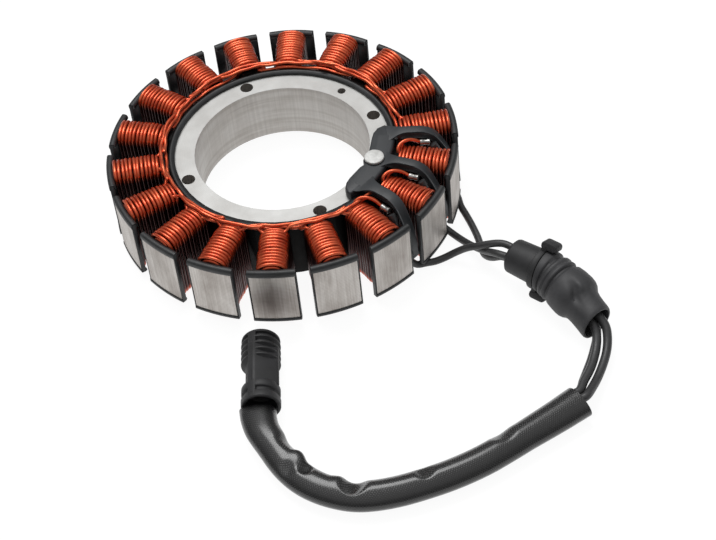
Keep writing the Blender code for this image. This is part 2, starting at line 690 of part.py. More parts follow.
def make_end_plug():
    place = Matrix.Translation(PLUG_TAIL) @ Matrix.Rotation(PLUG_HEADING, 4, "Z")
    rings = [
        [
            Vector((along, radius * math.cos(turn), radius * math.sin(turn))) * MM
            for turn in (math.tau * i / END_PLUG_SIDES for i in range(END_PLUG_SIDES))
        ]
        for along, radius in end_plug_profile()
    ]
    bm = bmesh.new()
    add_loft(bm, rings)
    plug = add_object("end_plug", mesh_from(bm, "end_plug"), plug_plastic)
    plug.matrix_world = place
    bm = bmesh.new()
    start, end = KEY_SPAN
    outline = [(start, -KEY_HALF_WIDTH), (end, -KEY_HALF_WIDTH)]
    outline += [(end, KEY_HALF_WIDTH), (start, KEY_HALF_WIDTH)]
    add_prism(bm, outline, KEY_FOOT, KEY_REACH)
    key = cut(plug, "plug_key", mesh_from(bm, "plug_key"), "UNION")
    key.matrix_world = place @ Matrix.Rotation(KEY_ROLL, 4, "X")
    floor = (END_PLUG_LENGTH - MOUTH_DEPTH) * MM + GAP
    length = (MOUTH_DEPTH - 1.5) * MM
    for number in range(1, PINS + 1):
        turn = math.radians(90) + math.tau * number / PINS
        bm = bmesh.new()
        add_cylinder(bm, PIN_RADIUS * MM, -length / 2, length / 2, sides=12)
        pin = add_object(f"contact_pin_{number}", mesh_from(bm, "contact_pin"), pin_metal)
        side = PIN_CIRCLE * MM * math.cos(turn)
        up = PIN_CIRCLE * MM * math.sin(turn)
        spot = Matrix.Translation((floor + length / 2, side, up))
        pin.matrix_world = place @ spot @ Matrix.Rotation(math.radians(90), 4, "Y")


make_core()
make_insulation()
make_coils()
make_crossovers()
make_holder()
make_rivet()
make_lead_ends_and_leads()
make_case_plug()
make_boot()
make_harness()
make_end_plug()
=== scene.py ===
import math
import random
from math import radians, tau

import bmesh
import bpy
from mathutils import Matrix, Vector


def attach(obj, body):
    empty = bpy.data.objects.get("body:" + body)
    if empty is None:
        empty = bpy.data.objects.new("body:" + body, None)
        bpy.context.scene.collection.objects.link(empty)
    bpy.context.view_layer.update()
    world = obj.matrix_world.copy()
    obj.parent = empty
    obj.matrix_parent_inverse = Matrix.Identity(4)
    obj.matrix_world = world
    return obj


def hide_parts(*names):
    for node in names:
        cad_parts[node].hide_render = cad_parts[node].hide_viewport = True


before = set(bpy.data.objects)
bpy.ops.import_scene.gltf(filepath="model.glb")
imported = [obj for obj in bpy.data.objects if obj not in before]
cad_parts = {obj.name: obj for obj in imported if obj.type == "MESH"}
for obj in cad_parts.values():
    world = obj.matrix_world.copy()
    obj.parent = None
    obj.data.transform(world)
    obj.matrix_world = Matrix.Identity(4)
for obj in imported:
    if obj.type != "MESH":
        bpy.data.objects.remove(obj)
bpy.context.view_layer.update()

# The laminated core: a ring with eighteen teeth, stamped from electrical steel sheet, stacked
# and bonded. The inner band is left bare, the bore is turned and the shoe faces are ground.
MM = 0.001
TEETH = 18
FIRST_TOOTH = radians(10)
TOOTH_STEP = tau / TEETH
FACE_RADIUS = 72.5 * MM
FLAT_SAG = 0.3 * MM
CUT_SAG = 0.7 * MM
SHOE_FACE_CUTS = 3
SHOES_FROM = 60 * MM
BORE_WITHIN = 36.3 * MM
BORE_EDGE_ROUND = 0.3 * MM
CORE_TOP = 29.45 * MM


def colour(hex_code):
    """An sRGB hex colour as the linear values that a shader takes."""
    parts = [int(hex_code[i : i + 2], 16) / 255 for i in (1, 3, 5)]
    linear = [c / 12.92 if c <= 0.04045 else ((c + 0.055) / 1.055) ** 2.4 for c in parts]
    return (*linear, 1.0)


def add_node(material, kind, inputs=None, stops=None, **settings):
    """Adds a shader node: its own settings, then values or links for its inputs."""
    made = material.node_tree.nodes.new(kind)
    for name, value in settings.items():
        setattr(made, name, value)
    for place, (position, shade) in enumerate(stops or ()):
        if place > 1:
            made.color_ramp.elements.new(position)
        made.color_ramp.elements[place].position = position
        made.color_ramp.elements[place].color = shade
    for name, value in (inputs or {}).items():
        if isinstance(value, bpy.types.NodeSocket):
            material.node_tree.links.new(value, made.inputs[name])
        else:
            made.inputs[name].default_value = value
    return made


def new_material(name):
    made = bpy.data.materials.new(name)
    made.use_nodes = True
    made.node_tree.nodes.clear()
    return made


def finish_material(material, **values):
    """Closes a material with a Principled shader that takes the given values and links."""
    named = {name.replace("_", " "): value for name, value in values.items()}
    shader = add_node(material, "ShaderNodeBsdfPrincipled", named)
    add_node(material, "ShaderNodeOutputMaterial", {"Surface": shader.outputs[0]})
    return material


def ramped(material, value, ramp):
    """Turns a 0 to 1 value into a colour, by (place, hex colour) stops."""
    stops = [(place, colour(shade)) for place, shade in ramp]
    return add_node(material, "ShaderNodeValToRGB", {"Fac": value}, stops).outputs[0]


def noise(material, where, scale, detail, stretch=(1, 1, 1), ramp=None):
    """Noise over the given coordinates, drawn out by the stretch, as a ramp of colours."""
    drawn = add_node(material, "ShaderNodeMapping", {"Vector": where, "Scale": stretch})
    inputs = {"Vector": drawn.outputs[0], "Scale": scale, "Detail": detail, "Roughness": 0.6}
    cloud = add_node(material, "ShaderNodeTexNoise", inputs).outputs[0]
    return ramped(material, cloud, ramp) if ramp else cloud


def blend(material, amount, base, top, mode="MULTIPLY"):
    """Lays one colour over another. The Mix node's colours are its inputs 6 and 7, output 2."""
    settings = {"data_type": "RGBA", "blend_type": mode, "clamp_result": True}
    inputs = {0: amount, 6: base, 7: top}
    return add_node(material, "ShaderNodeMix", inputs, **settings).outputs[2]


def distance(material, where, point, counted=(1, 1, 1)):
    """How far a place is from a point, over those of X, Y and Z that are counted."""
    flat = add_node(material, "ShaderNodeMapping", {"Vector": where, "Scale": counted})
    inputs = {0: flat.outputs[0], 1: point}
    made = add_node(material, "ShaderNodeVectorMath", inputs, operation="DISTANCE")
    return made.outputs["Value"]


def scaled(material, value, low, high, start=0.0, end=1.0, easing="LINEAR"):
    """Brings a value between start and end into the range from low to high."""
    inputs = {"Value": value, "From Min": start, "From Max": end, "To Min": low, "To Max": high}
    made = add_node(material, "ShaderNodeMapRange", inputs, interpolation_type=easing)
    return made.outputs[0]


def bump(material, height, depth, strength, under=None):
    inputs = {"Height": height, "Distance": depth, "Strength": strength}
    if under is not None:
        inputs["Normal"] = under
    return add_node(material, "ShaderNodeBump", inputs).outputs[0]


def object_place(material):
    return add_node(material, "ShaderNodeTexCoord").outputs["Object"]


put_in_scene = bpy.context.scene.collection.objects.link


def finish_piece(piece, node):
    """The piece goes into the scene, rides on the part and stands for its CAD node, which it hides.
    """
    put_in_scene(piece)
    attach(piece, "root")
    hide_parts(node)


def merged_copy(node, chosen):
    """The CAD solid as a welded bmesh, without those flat edges that the chooser takes."""
    bm = bmesh.new()
    bm.from_mesh(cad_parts[node].data)
    bmesh.ops.remove_doubles(bm, verts=bm.verts[:], dist=0.004 * MM)
    flat = [edge for edge in bm.edges if chosen(edge)]
    bmesh.ops.dissolve_limit(bm, angle_limit=radians(1), verts=[], edges=flat)
    return bm


def add_to(bm, other):
    """Puts another bmesh's shape into this one."""
    carried = bpy.data.meshes.new("carried")
    other.to_mesh(carried)
    other.free()
    bm.from_mesh(carried)
    bpy.data.meshes.remove(carried)


def soften_edges(bm, width, angle=35, segments=2, chosen=lambda edge: True):
    """Rounds every edge that turns more than the angle, and that the chooser takes."""
    flat = radians(angle)
    sharp = [e for e in bm.edges if e.is_manifold and e.calc_face_angle() > flat and chosen(e)]
    settings = {"affect": "EDGES", "profile": 0.5, "material": -1, "clamp_overlap": True}
    bmesh.ops.bevel(bm, geom=sharp, offset=width, segments=segments, **settings)


def mesh_piece(name, bm, *materials, smooth_angle=35):
    """Writes a bmesh to a new object with its materials and smooth shading by angle."""
    mesh = bpy.data.meshes.new(name)
    bm.to_mesh(mesh)
    bm.free()
    mesh.shade_smooth()
    mesh.set_sharp_from_angle(angle=radians(smooth_angle))
    for material in materials:
        mesh.materials.append(material)
    return bpy.data.objects.new(name, mesh)


# Shoe faces: ground upright, so the marks run up and down over the faint lines of the sheets.
SHEET_PITCH = 0.8 * MM
# How far apart a wave texture's bands are at a scale of one.
WAVE_SPACING = 0.314
SMUDGE_AT = Vector((24.2, -68.4, 15.0)) * MM
SMUDGE_REACH = 15 * MM

ground_face = new_material("ground_shoe_face_steel")
where = object_place(ground_face)
sheen = noise(ground_face, where, 1.0, 6.0, (1500, 1500, 34), ((0.3, "#bab4af"), (0.72, "#dcd9d5")))
stain = noise(ground_face, where, 60.0, 4.0, (1, 1, 0.5), ((0.38, "#a39a93"), (0.58, "#ffffff")))
inputs = {"Vector": where, "Scale": WAVE_SPACING / SHEET_PITCH, "Distortion": 1.2}
inputs["Detail Scale"] = 3.0
sheets = add_node(ground_face, "ShaderNodeTexWave", inputs, bands_direction="Z").outputs["Fac"]
lines = ramped(ground_face, sheets, ((0.0, "#c4beb9"), (0.3, "#ffffff")))
tone = blend(ground_face, 0.5, sheen, stain)
tone = blend(ground_face, 0.5, tone, lines)
# One shoe face has a dark smudge on it.
from_smudge = distance(ground_face, where, SMUDGE_AT)
smudge = scaled(ground_face, from_smudge, 0.7, 0.0, 1 * MM, SMUDGE_REACH, "SMOOTHSTEP")
tone = blend(ground_face, smudge, tone, colour("#7a6e6a"))
scratch = noise(ground_face, where, 1.0, 6.0, (2100, 2100, 50))
finish_material(
    ground_face,
    Base_Color=tone,
    Metallic=0.9,
    Roughness=scaled(ground_face, scratch, 0.4, 0.6),
    Normal=bump(ground_face, sheets, 0.015 * MM, 0.5, bump(ground_face, scratch, 0.02 * MM, 0.5)),
)

# The bore: turned, then honed in the line of the axis, a darker steel with fine upright marks.
bore_steel = new_material("honed_bore_steel")
where = object_place(bore_steel)
marks = noise(bore_steel, where, 1.0, 6.0, (1500, 1500, 24), ((0.3, "#bbb8b4"), (0.72, "#cac7c3")))
patch = noise(bore_steel, where, 45.0, 4.0, (1, 1, 1.6), ((0.35, "#dedad7"), (0.6, "#ffffff")))
tiers = noise(bore_steel, where, 1.0, 3.0, (14, 14, 420), ((0.38, "#e0dcd9"), (0.55, "#ffffff")))
tone = blend(bore_steel, 0.6, marks, patch)
fine = noise(bore_steel, where, 1.0, 4.0, (1900, 1900, 30))
finish_material(
    bore_steel,
    Base_Color=blend(bore_steel, 0.5, tone, tiers),
    Metallic=0.8,
    Roughness=scaled(bore_steel, fine, 0.42, 0.6),
    Normal=bump(bore_steel, fine, 0.015 * MM, 0.4),
)

# The bare band: faced flat, which leaves fine rings round the axis.
ON_AXIS = (0, 0, 0)
LEVEL = (1, 1, 0)

faced_steel = new_material("faced_band_steel")
where = object_place(faced_steel)
reach = distance(faced_steel, where, ON_AXIS, LEVEL)
inputs = {"W": reach, "Scale": 4200.0, "Detail": 5.0, "Roughness": 0.7}
rings = add_node(faced_steel, "ShaderNodeTexNoise", inputs, noise_dimensions="1D").outputs[0]
ring_tone = ramped(faced_steel, rings, ((0.3, "#bdbdbb"), (0.7, "#cfcfcd")))
clouds = noise(faced_steel, where, 70.0, 4.0, ramp=((0.35, "#dcdad8"), (0.65, "#ffffff")))
finish_material(
    faced_steel,
    Base_Color=blend(faced_steel, 0.6, ring_tone, clouds),
    Metallic=0.6,
    Roughness=scaled(faced_steel, rings, 0.46, 0.6),
    Normal=bump(faced_steel, rings, 0.01 * MM, 0.4),
)


def on_shoe_face(edge):
    return all(vert.co.xy.length > FACE_RADIUS - FLAT_SAG for vert in edge.verts)


def on_bore(edge):
    return all(vert.co.xy.length < BORE_WITHIN for vert in edge.verts)


core = merged_copy("laminated_core", on_shoe_face)
# The CAD shoe faces are two flats each. Cut into strips, they go back onto the ground circle.
strips = [
    edge
    for edge in core.edges
    if on_shoe_face(edge) and abs(edge.verts[0].co.z - edge.verts[1].co.z) < 0.01 * MM
]
bmesh.ops.subdivide_edges(core, edges=strips, cuts=SHOE_FACE_CUTS)
for vert in core.verts:
    if vert.co.xy.length > FACE_RADIUS - CUT_SAG:
        vert.co.xy = vert.co.xy.normalized() * FACE_RADIUS
soften_edges(core, BORE_EDGE_ROUND, segments=1, chosen=on_bore)
for face in core.faces:
    out = face.calc_center_median().xy.length
    upright = abs(face.normal.z) < 0.5
    face.material_index = 0 if upright and out > SHOES_FROM else 1 if upright else 2
core_piece = mesh_piece("steel_core", core, ground_face, bore_steel, faced_steel, smooth_angle=30)
for face in core_piece.data.polygons:
    face.use_smooth = face.material_index != 2
finish_piece(core_piece, "laminated_core")

# The insulation is moulded over the core in black glass-filled plastic. It leaves the core's
# inner band and the shoe faces bare, and stands up as a thick rounded lip over each shoe and as
# a low stepped wall round the band.
LIP_HALF_ANGLE = radians(7.55)
LIP_PROFILE = (
    (72.3, 28.7), (72.72, 28.75), (72.8, 29.6), (72.7, 30.6), (72.1, 31.15), (71.2, 31.2),
    (70.3, 30.9), (69.95, 30.2), (69.95, 29.2), (70.6, 28.7),
)
FOOT_PROFILE = (
    (72.3, 3.4), (72.7, 3.45), (72.75, 4.0), (72.7, 5.0), (72.3, 5.1), (70.2, 4.2), (70.2, 3.4),
)
WALL_PROFILE = (
    (44.5, 29.6), (44.5, 30.1), (44.75, 30.3), (45.3, 30.35), (45.45, 30.75), (45.7, 30.95),
    (46.8, 30.95), (47.1, 30.7), (47.15, 29.9), (46.9, 29.6),
)
LIP_CROWN = 0.25 * MM
CROWNED_FROM = 30 * MM
# Where the moulding's painted shade lies: the slots' middle radius, and how far from it the painted
# shade fades out.
SLOT_SHADE_MIDDLE = 57.0 * MM
SLOT_SHADE_EDGE = (10.3 * MM, 10.9 * MM)


def maths(material, operation, *values):
    """One step of arithmetic on values or links."""
    inputs = dict(enumerate(values))
    return add_node(material, "ShaderNodeMath", inputs, operation=operation).outputs[0]


def finish_skin(material, tone, roughness, dents, **values):
    """Closes a material whose skin has layers of dents, the widest first.

    A layer is its noise's scale and detail, its depth in millimetres and its strength. The
    widest layer also carries the roughness through its range.
    """
    where = object_place(material)
    relief = None
    for scale, detail, depth, strength in dents:
        layer = noise(material, where, scale, detail)
        if relief is None:
            values["Roughness"] = scaled(material, layer, *roughness)
        relief = bump(material, layer, depth * MM, strength, relief)
    return finish_material(material, Base_Color=tone, Normal=relief, **values)


nylon = new_material("glass_filled_nylon_moulding")
where = object_place(nylon)
mottle = noise(nylon, where, 160.0, 4.0, ramp=((0.35, "#191b1c"), (0.7, "#27292b")))
# Between the hub wall and the shoes, down among the coils, the moulding is painted darker and
# reddish brown, with less shine there: painted shade.
off_middle = distance(nylon, where, ON_AXIS, LEVEL)
off_middle = maths(nylon, "SUBTRACT", off_middle, SLOT_SHADE_MIDDLE)
off_middle = maths(nylon, "ABSOLUTE", off_middle)
moulding_unshaded = scaled(nylon, off_middle, 0.0, 1.0, *SLOT_SHADE_EDGE)
painted_moulding_shade = blend(nylon, moulding_unshaded, colour("#4a302b"), (1, 1, 1, 1), "MIX")
finish_skin(
    nylon,
    tone=blend(nylon, 1.0, mottle, painted_moulding_shade),
    roughness=(0.36, 0.6),
    dents=((300.0, 3.0, 0.08, 0.4), (2600.0, 2.0, 0.03, 0.5)),
    Specular_IOR_Level=scaled(nylon, moulding_unshaded, 0.12, 0.5),
)


def spun_strip(profile, turn, half_angle, crown=0.0, steps=10):
    """A closed (radius, height) profile spun through a short arc, with both ends closed."""
    strip = bmesh.new()
    start = Matrix.Rotation(turn - half_angle, 3, "Z")
    ring = [start @ Vector((radius * MM, 0, height * MM)) for radius, height in profile]
    first = strip.faces.new([strip.verts.new(point) for point in ring])
    swept = [first, *first.edges, *first.verts]
    bmesh.ops.spin(strip, geom=swept, axis=(0, 0, 1), angle=2 * half_angle, steps=steps)
    for vert in strip.verts:
        off = math.remainder(math.atan2(vert.co.y, vert.co.x) - turn, tau) / half_angle
        vert.co.z += crown * (1 - off * off) * (1 if vert.co.z > CROWNED_FROM else 0)
    return strip


coat = merged_copy("slot_insulation", lambda edge: True)
bmesh.ops.triangulate(coat, faces=coat.faces[:])
for face in coat.faces:
    face.material_index = 0
for k in range(TEETH):
    turn = FIRST_TOOTH + TOOTH_STEP * k
    add_to(coat, spun_strip(LIP_PROFILE, turn, LIP_HALF_ANGLE, LIP_CROWN))
    add_to(coat, spun_strip(FOOT_PROFILE, turn, LIP_HALF_ANGLE))
for half_turn in (0.0, math.pi):
    add_to(coat, spun_strip(WALL_PROFILE, half_turn, math.pi / 2, steps=64))
bmesh.ops.recalc_face_normals(coat, faces=coat.faces[:])
coat_piece = mesh_piece("insulation_moulding", coat, nylon, smooth_angle=50)
finish_piece(coat_piece, "slot_insulation")


# Each coil is one enamelled copper wire, wound round its tooth with a turn every 1.6 mm. The
# enamel is a clear red varnish, and the copper shines through it salmon where it faces the light.
WIRE_RADIUS = 0.72 * MM
TURNS = 13
FIRST_TURN_AT = 49.95 * MM
COIL_PITCH = 1.59 * MM
COIL_TOP = 33.8 * MM
COIL_HALF_WIDTH = 6.1 * MM
COIL_SPREAD = 0.35 * MM
ARCH_HEIGHT = 4.6 * MM
ARCH_POWER = 2.5
ARCH_STEPS = 16
INNER_TURN_DROPS = (0.9, 0.4, 0.1)
UNDER_TURN_DROP = 1.55 * MM
UNDER_TURN_BACK = 0.8
STEP_OVER = 0.15
# By how much each turn may lean, slant, swell and lift, in millimetres.
TURN_SCATTER = ((-0.14, 0.14), (-0.16, 0.16), (-0.2, 0.12), (-0.25, 0.0))
COIL_MIDDLE = (0, 0, 16.9 * MM)
# Heights from the coil's middle over which its painted shade fades out.
COIL_SHADE_FADES_FROM = 10.5 * MM
COIL_SHADE_FADES_TO = 14.5 * MM

copper = new_material("enamelled_copper_wire")
where = object_place(copper)
patch = noise(copper, where, 170.0, 3.0, ramp=((0.3, "#bf4320"), (0.7, "#e66c43")))
# Away from its top and bottom, down in the slots, the winding is painted darker: painted shade
# where the coils and shoes shade each other.
from_middle = distance(copper, where, COIL_MIDDLE, (0, 0, 1))
coil_unshaded = scaled(copper, from_middle, 0.0, 1.0, COIL_SHADE_FADES_FROM, COIL_SHADE_FADES_TO, "SMOOTHSTEP")
painted_coil_shade = blend(copper, coil_unshaded, colour("#43201a"), (1, 1, 1, 1), "MIX")
finish_skin(
    copper,
    tone=blend(copper, 1.0, patch, painted_coil_shade),
    roughness=(0.26, 0.4),
    dents=((260.0, 2.0, 0.05, 0.15),),
    Metallic=0.85,
    Coat_Weight=0.45,
    Coat_Roughness=0.2,
)


def round_curve(name, runs, radius, roundness):
    """Round wire along each run of points, as one curve with closed ends."""
    curve = bpy.data.curves.new(name, "CURVE")
    curve.dimensions = "3D"
    curve.bevel_depth = radius
    curve.bevel_resolution = roundness
    curve.use_fill_caps = True
    for points in runs:
        spline = curve.splines.new("POLY")
        spline.points.add(len(points) - 1)
        for spot, point in zip(spline.points, points):
            spot.co = (*point, 1)
        spline.use_smooth = True
    return curve


def wire_piece(name, runs):
    """One or more enamelled wires, made one closed mesh."""
    curve = round_curve(name, runs, WIRE_RADIUS, 3)
    drawn = bpy.data.objects.new(name + "_path", curve)
    put_in_scene(drawn)
    bpy.context.view_layer.update()
    shape = drawn.evaluated_get(bpy.context.evaluated_depsgraph_get())
    mesh = bpy.data.meshes.new_from_object(shape)
    bpy.data.objects.remove(drawn)
    bpy.data.curves.remove(curve)
    mesh.name = name
    mesh.materials.clear()
    mesh.materials.append(copper)
    mesh.shade_smooth()
    mesh.set_sharp_from_angle(angle=radians(60))
    return bpy.data.objects.new(name, mesh)


def turn_outline(half, top, low):
    """One turn as (across, height) points: upright sides, with a flat arch above and below."""
    arch = []
    for i in range(ARCH_STEPS + 1):
        lean = math.cos(math.pi * i / ARCH_STEPS)
        rise = (1 - abs(lean) ** ARCH_POWER) ** (1 / ARCH_POWER)
        arch.append((half * lean, ARCH_HEIGHT * (1 - rise)))
    above = [(across, top - fall) for across, fall in arch]
    below = [(-across, low + fall) for across, fall in arch]
    return above + [(-half, (top + low) / 2)] + below + [(half, (top + low) / 2)]


def winding_path(chance):
    """The wire's middle line round a tooth that points along +X, turn after turn.

    One more turn lies under the last one, against the shoe.
    """
    points = []
    for turn in range(TURNS + 1):
        lean, slant, swell, lift = (chance.uniform(*limits) * MM for limits in TURN_SCATTER)
        drop = INNER_TURN_DROPS[turn] * MM if turn < len(INNER_TURN_DROPS) else 0.0
        half = COIL_HALF_WIDTH + COIL_SPREAD * turn / TURNS - WIRE_RADIUS + swell
        place = turn
        if turn == TURNS:
            drop = UNDER_TURN_DROP
            half -= UNDER_TURN_DROP
            place = TURNS - UNDER_TURN_BACK
        outline = turn_outline(half, COIL_TOP - WIRE_RADIUS - drop + lift, WIRE_RADIUS - lift)
        # The wire steps over to its next turn on the coil's underside.
        underside = 3 * ARCH_STEPS // 2 + 3
        outline = outline[underside:] + outline[:underside]
        for step, (across, height) in enumerate(outline):
            run = step / len(outline)
            shift = max(0.0, run - 1 + STEP_OVER) - max(0.0, STEP_OVER - run)
            shift /= 2 * STEP_OVER
            along = FIRST_TURN_AT + COIL_PITCH * (place + (shift if turn < TURNS - 1 else 0.0))
            bow = lean * math.sin(math.pi * run) + slant * math.sin(tau * run)
            points.append(Vector((along + bow, across, height)))
    return points


for k in range(TEETH):
    chance = random.Random(k)
    turned = Matrix.Rotation(FIRST_TOOTH + TOOTH_STEP * k, 4, "Z")
    path = [turned @ point for point in winding_path(chance)]
    coil = wire_piece(f"coil_winding_{k + 1:02d}", [path])
    finish_piece(coil, f"coil_{k + 1:02d}")

# The crossover wires are the coils' own ends. Each leaves a coil at its inner end, runs along
# the moulded wall past two coils of the other phases, and enters the third one.
CROSSOVER_TRACKS = ((47.98, 31.0), (48.3, 33.25), (49.7, 33.6))
# Beside a coil: the radius, the degrees from its tooth and the height.
LEAVES_COIL = ((51.2, 4.2, 31.4), (50.3, 5.6, 31.6))
ENTERS_COIL = ((50.3, -5.8, 31.6), (51.2, -4.2, 31.4))
MEETS_WALL = 49.2 * MM
WALL_DIP = 0.5 * MM
PHASES = 3


def polar(radius, angle, height):
    return Vector((radius * math.cos(angle), radius * math.sin(angle), height))


def smooth_line(points, steps):
    """Points on a smooth curve through the given ones, so many steps from each to the next."""
    ends = [points[0] * 2 - points[1], *points, points[-1] * 2 - points[-2]]
    line = []
    for before, start, end, after in zip(ends, ends[1:], ends[2:], ends[3:]):
        for step in range(steps):
            t = step / steps
            bend = (2 * before - 5 * start + 4 * end - after) * t**2
            ease = (3 * start - before - 3 * end + after) * t**3
            line.append(0.5 * (2 * start + (end - before) * t + bend + ease))
    return [*line, points[-1]]


def crossover(first, track, chance):
    """From one coil's inner end, along the wall, to the inner end of the third coil on."""
    turn = FIRST_TOOTH + TOOTH_STEP * first
    reach, level = (value * MM for value in track)
    points = [polar(out * MM, turn + radians(off), up * MM) for out, off, up in LEAVES_COIL]
    points.append(polar(MEETS_WALL, turn + radians(8.2), level - WALL_DIP))
    for stop in range(2, 11):
        away = turn + TOOTH_STEP * (0.25 * stop + 0.25)
        wander = chance.uniform(-0.25, 0.35) * MM
        dip = WALL_DIP if stop % 4 == 1 else 0.0
        points.append(polar(reach + wander, away, level - dip + chance.uniform(-0.25, 0.2) * MM))
    end = turn + TOOTH_STEP * PHASES
    points.append(polar(MEETS_WALL, end - radians(8.0), level - WALL_DIP))
    points += [polar(out * MM, end + radians(off), up * MM) for out, off, up in ENTERS_COIL]
    return smooth_line(points, 5)


for phase in range(PHASES):
    chance = random.Random(50 + phase)
    track = CROSSOVER_TRACKS[phase]
    runs = [crossover(first, track, chance) for first in range(phase, TEETH - PHASES, PHASES)]
    wires = wire_piece(f"crossover_wires_{phase + 1}", runs)
    finish_piece(wires, f"crossover_wire_{phase + 1}")

# The lead holder is one black moulding: a pad on the bare band, and three arms that run out over
# the slots, turn down between the shoes and hold the leads' ends in place.
SLOTS = (radians(20), 0.0, radians(-20))
HOLDER_BOTTOM = CORE_TOP + 0.3 * MM
PAD_TOP = 33.8 * MM
ARM_STATIONS = (
    (39.0, 33.2, 39.0, 31.3, 1.2, 1.9), (41.2, 33.5, 41.2, 31.2, 1.3, 2.1),
    (43.2, 33.7, 43.2, 31.2, 1.4, 2.3), (45.2, 33.92, 45.2, 31.2, 1.5, 2.1),
    (47.0, 34.4, 47.0, 31.2, 1.6, 1.6), (49.2, 35.0, 49.2, 31.2, 1.7, 1.2),
    (51.4, 35.3, 51.4, 31.2, 1.75, 1.02), (54.2, 35.35, 54.2, 31.2, 1.8, 1.0),
    (57.2, 35.3, 56.8, 31.2, 1.8, 1.0), (60.5, 34.7, 59.6, 30.8, 1.7, 0.97),
    (63.5, 33.0, 61.8, 29.6, 1.4, 0.94), (66.0, 29.8, 63.9, 27.3, 0.9, 0.92),
    (68.3, 25.6, 66.2, 23.8, 0.5, 0.90), (70.2, 21.0, 68.3, 20.0, 0.1, 0.88),
    (71.4, 16.0, 69.4, 15.6, 0.0, 0.88), (71.6, 9.6, 69.6, 9.6, 0.0, 0.88),
)
ARM_HALF_WIDTHS = (2.2, 2.2, 2.6)
# Below this height an arm stands between two shoes, which leave it only so much width.
SHOE_GAP_BELOW = 20.5
SHOE_GAP_HALF = 1.95
ARM_ROOF_SHARE = 0.7
ARM_ROOF_HALF = 1.5
ARM_EDGE_ROUND = 0.55 * MM
PAD_RIM_ABOVE = 33 * MM
PAD_RIM_ROUND = 0.8 * MM
PAD_EDGE = (
    (37.4, 19), (37.4, 6.5), (36.8, 4), (36.6, 1.2), (36.8, -1.6), (38.3, -4.5), (37.4, -8),
    (37.4, -19), (38.3, -23.5), (40.2, -26.8), (42.6, -28), (44.2, -27.5), (44.2, -22),
    (44.2, -11), (44.2, 0), (44.2, 11), (44.2, 22), (43.4, 29.3), (40.2, 27.6), (38.0, 23.5),
)
# Between the arms the pad runs on as a brim over the moulded wall.
BRIM_HALF_ANGLE = radians(20.5)
BRIM_PROFILE = (
    (40.0, 31.3), (46.3, 31.3), (46.7, 31.5), (46.8, 32.0), (46.7, 33.1), (46.3, 33.6),
    (45.6, 33.82), (40.0, 33.82),
)


def mottled_skin(name, mottle, **skin):
    """A new material whose tone is a cloud, by its noise's scale and detail and its stops."""
    made = new_material(name)
    scale, detail, *ramp = mottle
    tone = noise(made, object_place(made), scale, detail, ramp=ramp)
    return finish_skin(made, tone, **skin)


black_holder = mottled_skin(
    "matt_holder_moulding",
    mottle=(120.0, 4.0, (0.3, "#242629"), (0.72, "#303336")),
    roughness=(0.36, 0.58),
    dents=((240.0, 3.0, 0.1, 0.35), (3200.0, 2.0, 0.04, 0.5)),
)


def in_slot(slot_angle, radius, side, height):
    """A point given in millimetres along a slot's middle line, across it and up."""
    return Matrix.Rotation(slot_angle, 4, "Z") @ (Vector((radius, side, height)) * MM)


def extrude_through(bm, rings):
    """Extrudes one flat ring of points through the others; both ends stay closed."""
    cap = bm.faces.new([bm.verts.new(point) for point in rings[0]])
    for points in rings[1:]:
        grown = bmesh.ops.extrude_face_region(bm, geom=[cap])["geom"]
        cap = next(item for item in grown if isinstance(item, bmesh.types.BMFace))
        for vert, point in zip(cap.verts, points):
            vert.co = point


holder = bmesh.new()
for slot_angle, half in zip(SLOTS, ARM_HALF_WIDTHS):
    rings = []
    for station in smooth_line([Vector(row) for row in ARM_STATIONS], 3):
        top_out, top, low_out, low, side, share = station
        wide = half * share
        narrow = min(wide * ARM_ROOF_SHARE, ARM_ROOF_HALF)
        if top < SHOE_GAP_BELOW:
            wide = narrow = min(wide, SHOE_GAP_HALF)
        corners = ((low_out, -narrow, low), (low_out, narrow, low))
        corners += ((top_out, wide, top), (top_out, -wide, top))
        rings.append([in_slot(slot_angle, out, side + over, up) for out, over, up in corners])
    extrude_through(holder, rings)
soften_edges(holder, ARM_EDGE_ROUND, angle=25, segments=3)
pad = bmesh.new()
edge = [polar(radius * MM, radians(turn), HOLDER_BOTTOM) for radius, turn in PAD_EDGE]
raised = [point + Vector((0, 0, PAD_TOP - HOLDER_BOTTOM)) for point in edge]
extrude_through(pad, [edge, raised])
soften_edges(pad, PAD_RIM_ROUND, segments=3, chosen=lambda e: e.verts[0].co.z > PAD_RIM_ABOVE)
add_to(holder, pad)
add_to(holder, spun_strip(BRIM_PROFILE, 0.0, BRIM_HALF_ANGLE, steps=24))
bmesh.ops.recalc_face_normals(holder, faces=holder.faces[:])
holder_piece = mesh_piece("lead_holder_moulding", holder, black_holder, smooth_angle=40)
finish_piece(holder_piece, "lead_holder")

# One aluminium rivet holds the pad down. Its head is set flat and dull, with a rounded rim.
RIVET_AT = polar(41.0 * MM, radians(1.2), 0)
RIVET_PROFILE = (
    (0, 4.4), (1.8, 4.4), (1.8, 34.1), (3.95, 34.1), (4.05, 34.25), (4.05, 34.75), (3.9, 35.05),
    (3.55, 35.2), (2.4, 35.25), (1.0, 35.28), (0, 35.28),
)
rivet_aluminium = mottled_skin(
    "set_rivet_aluminium",
    mottle=(420.0, 3.0, (0.3, "#b9b9b6"), (0.7, "#d9d9d7")),
    roughness=(0.5, 0.7),
    dents=((1400.0, 3.0, 0.05, 0.6),),
    Metallic=0.4,
)


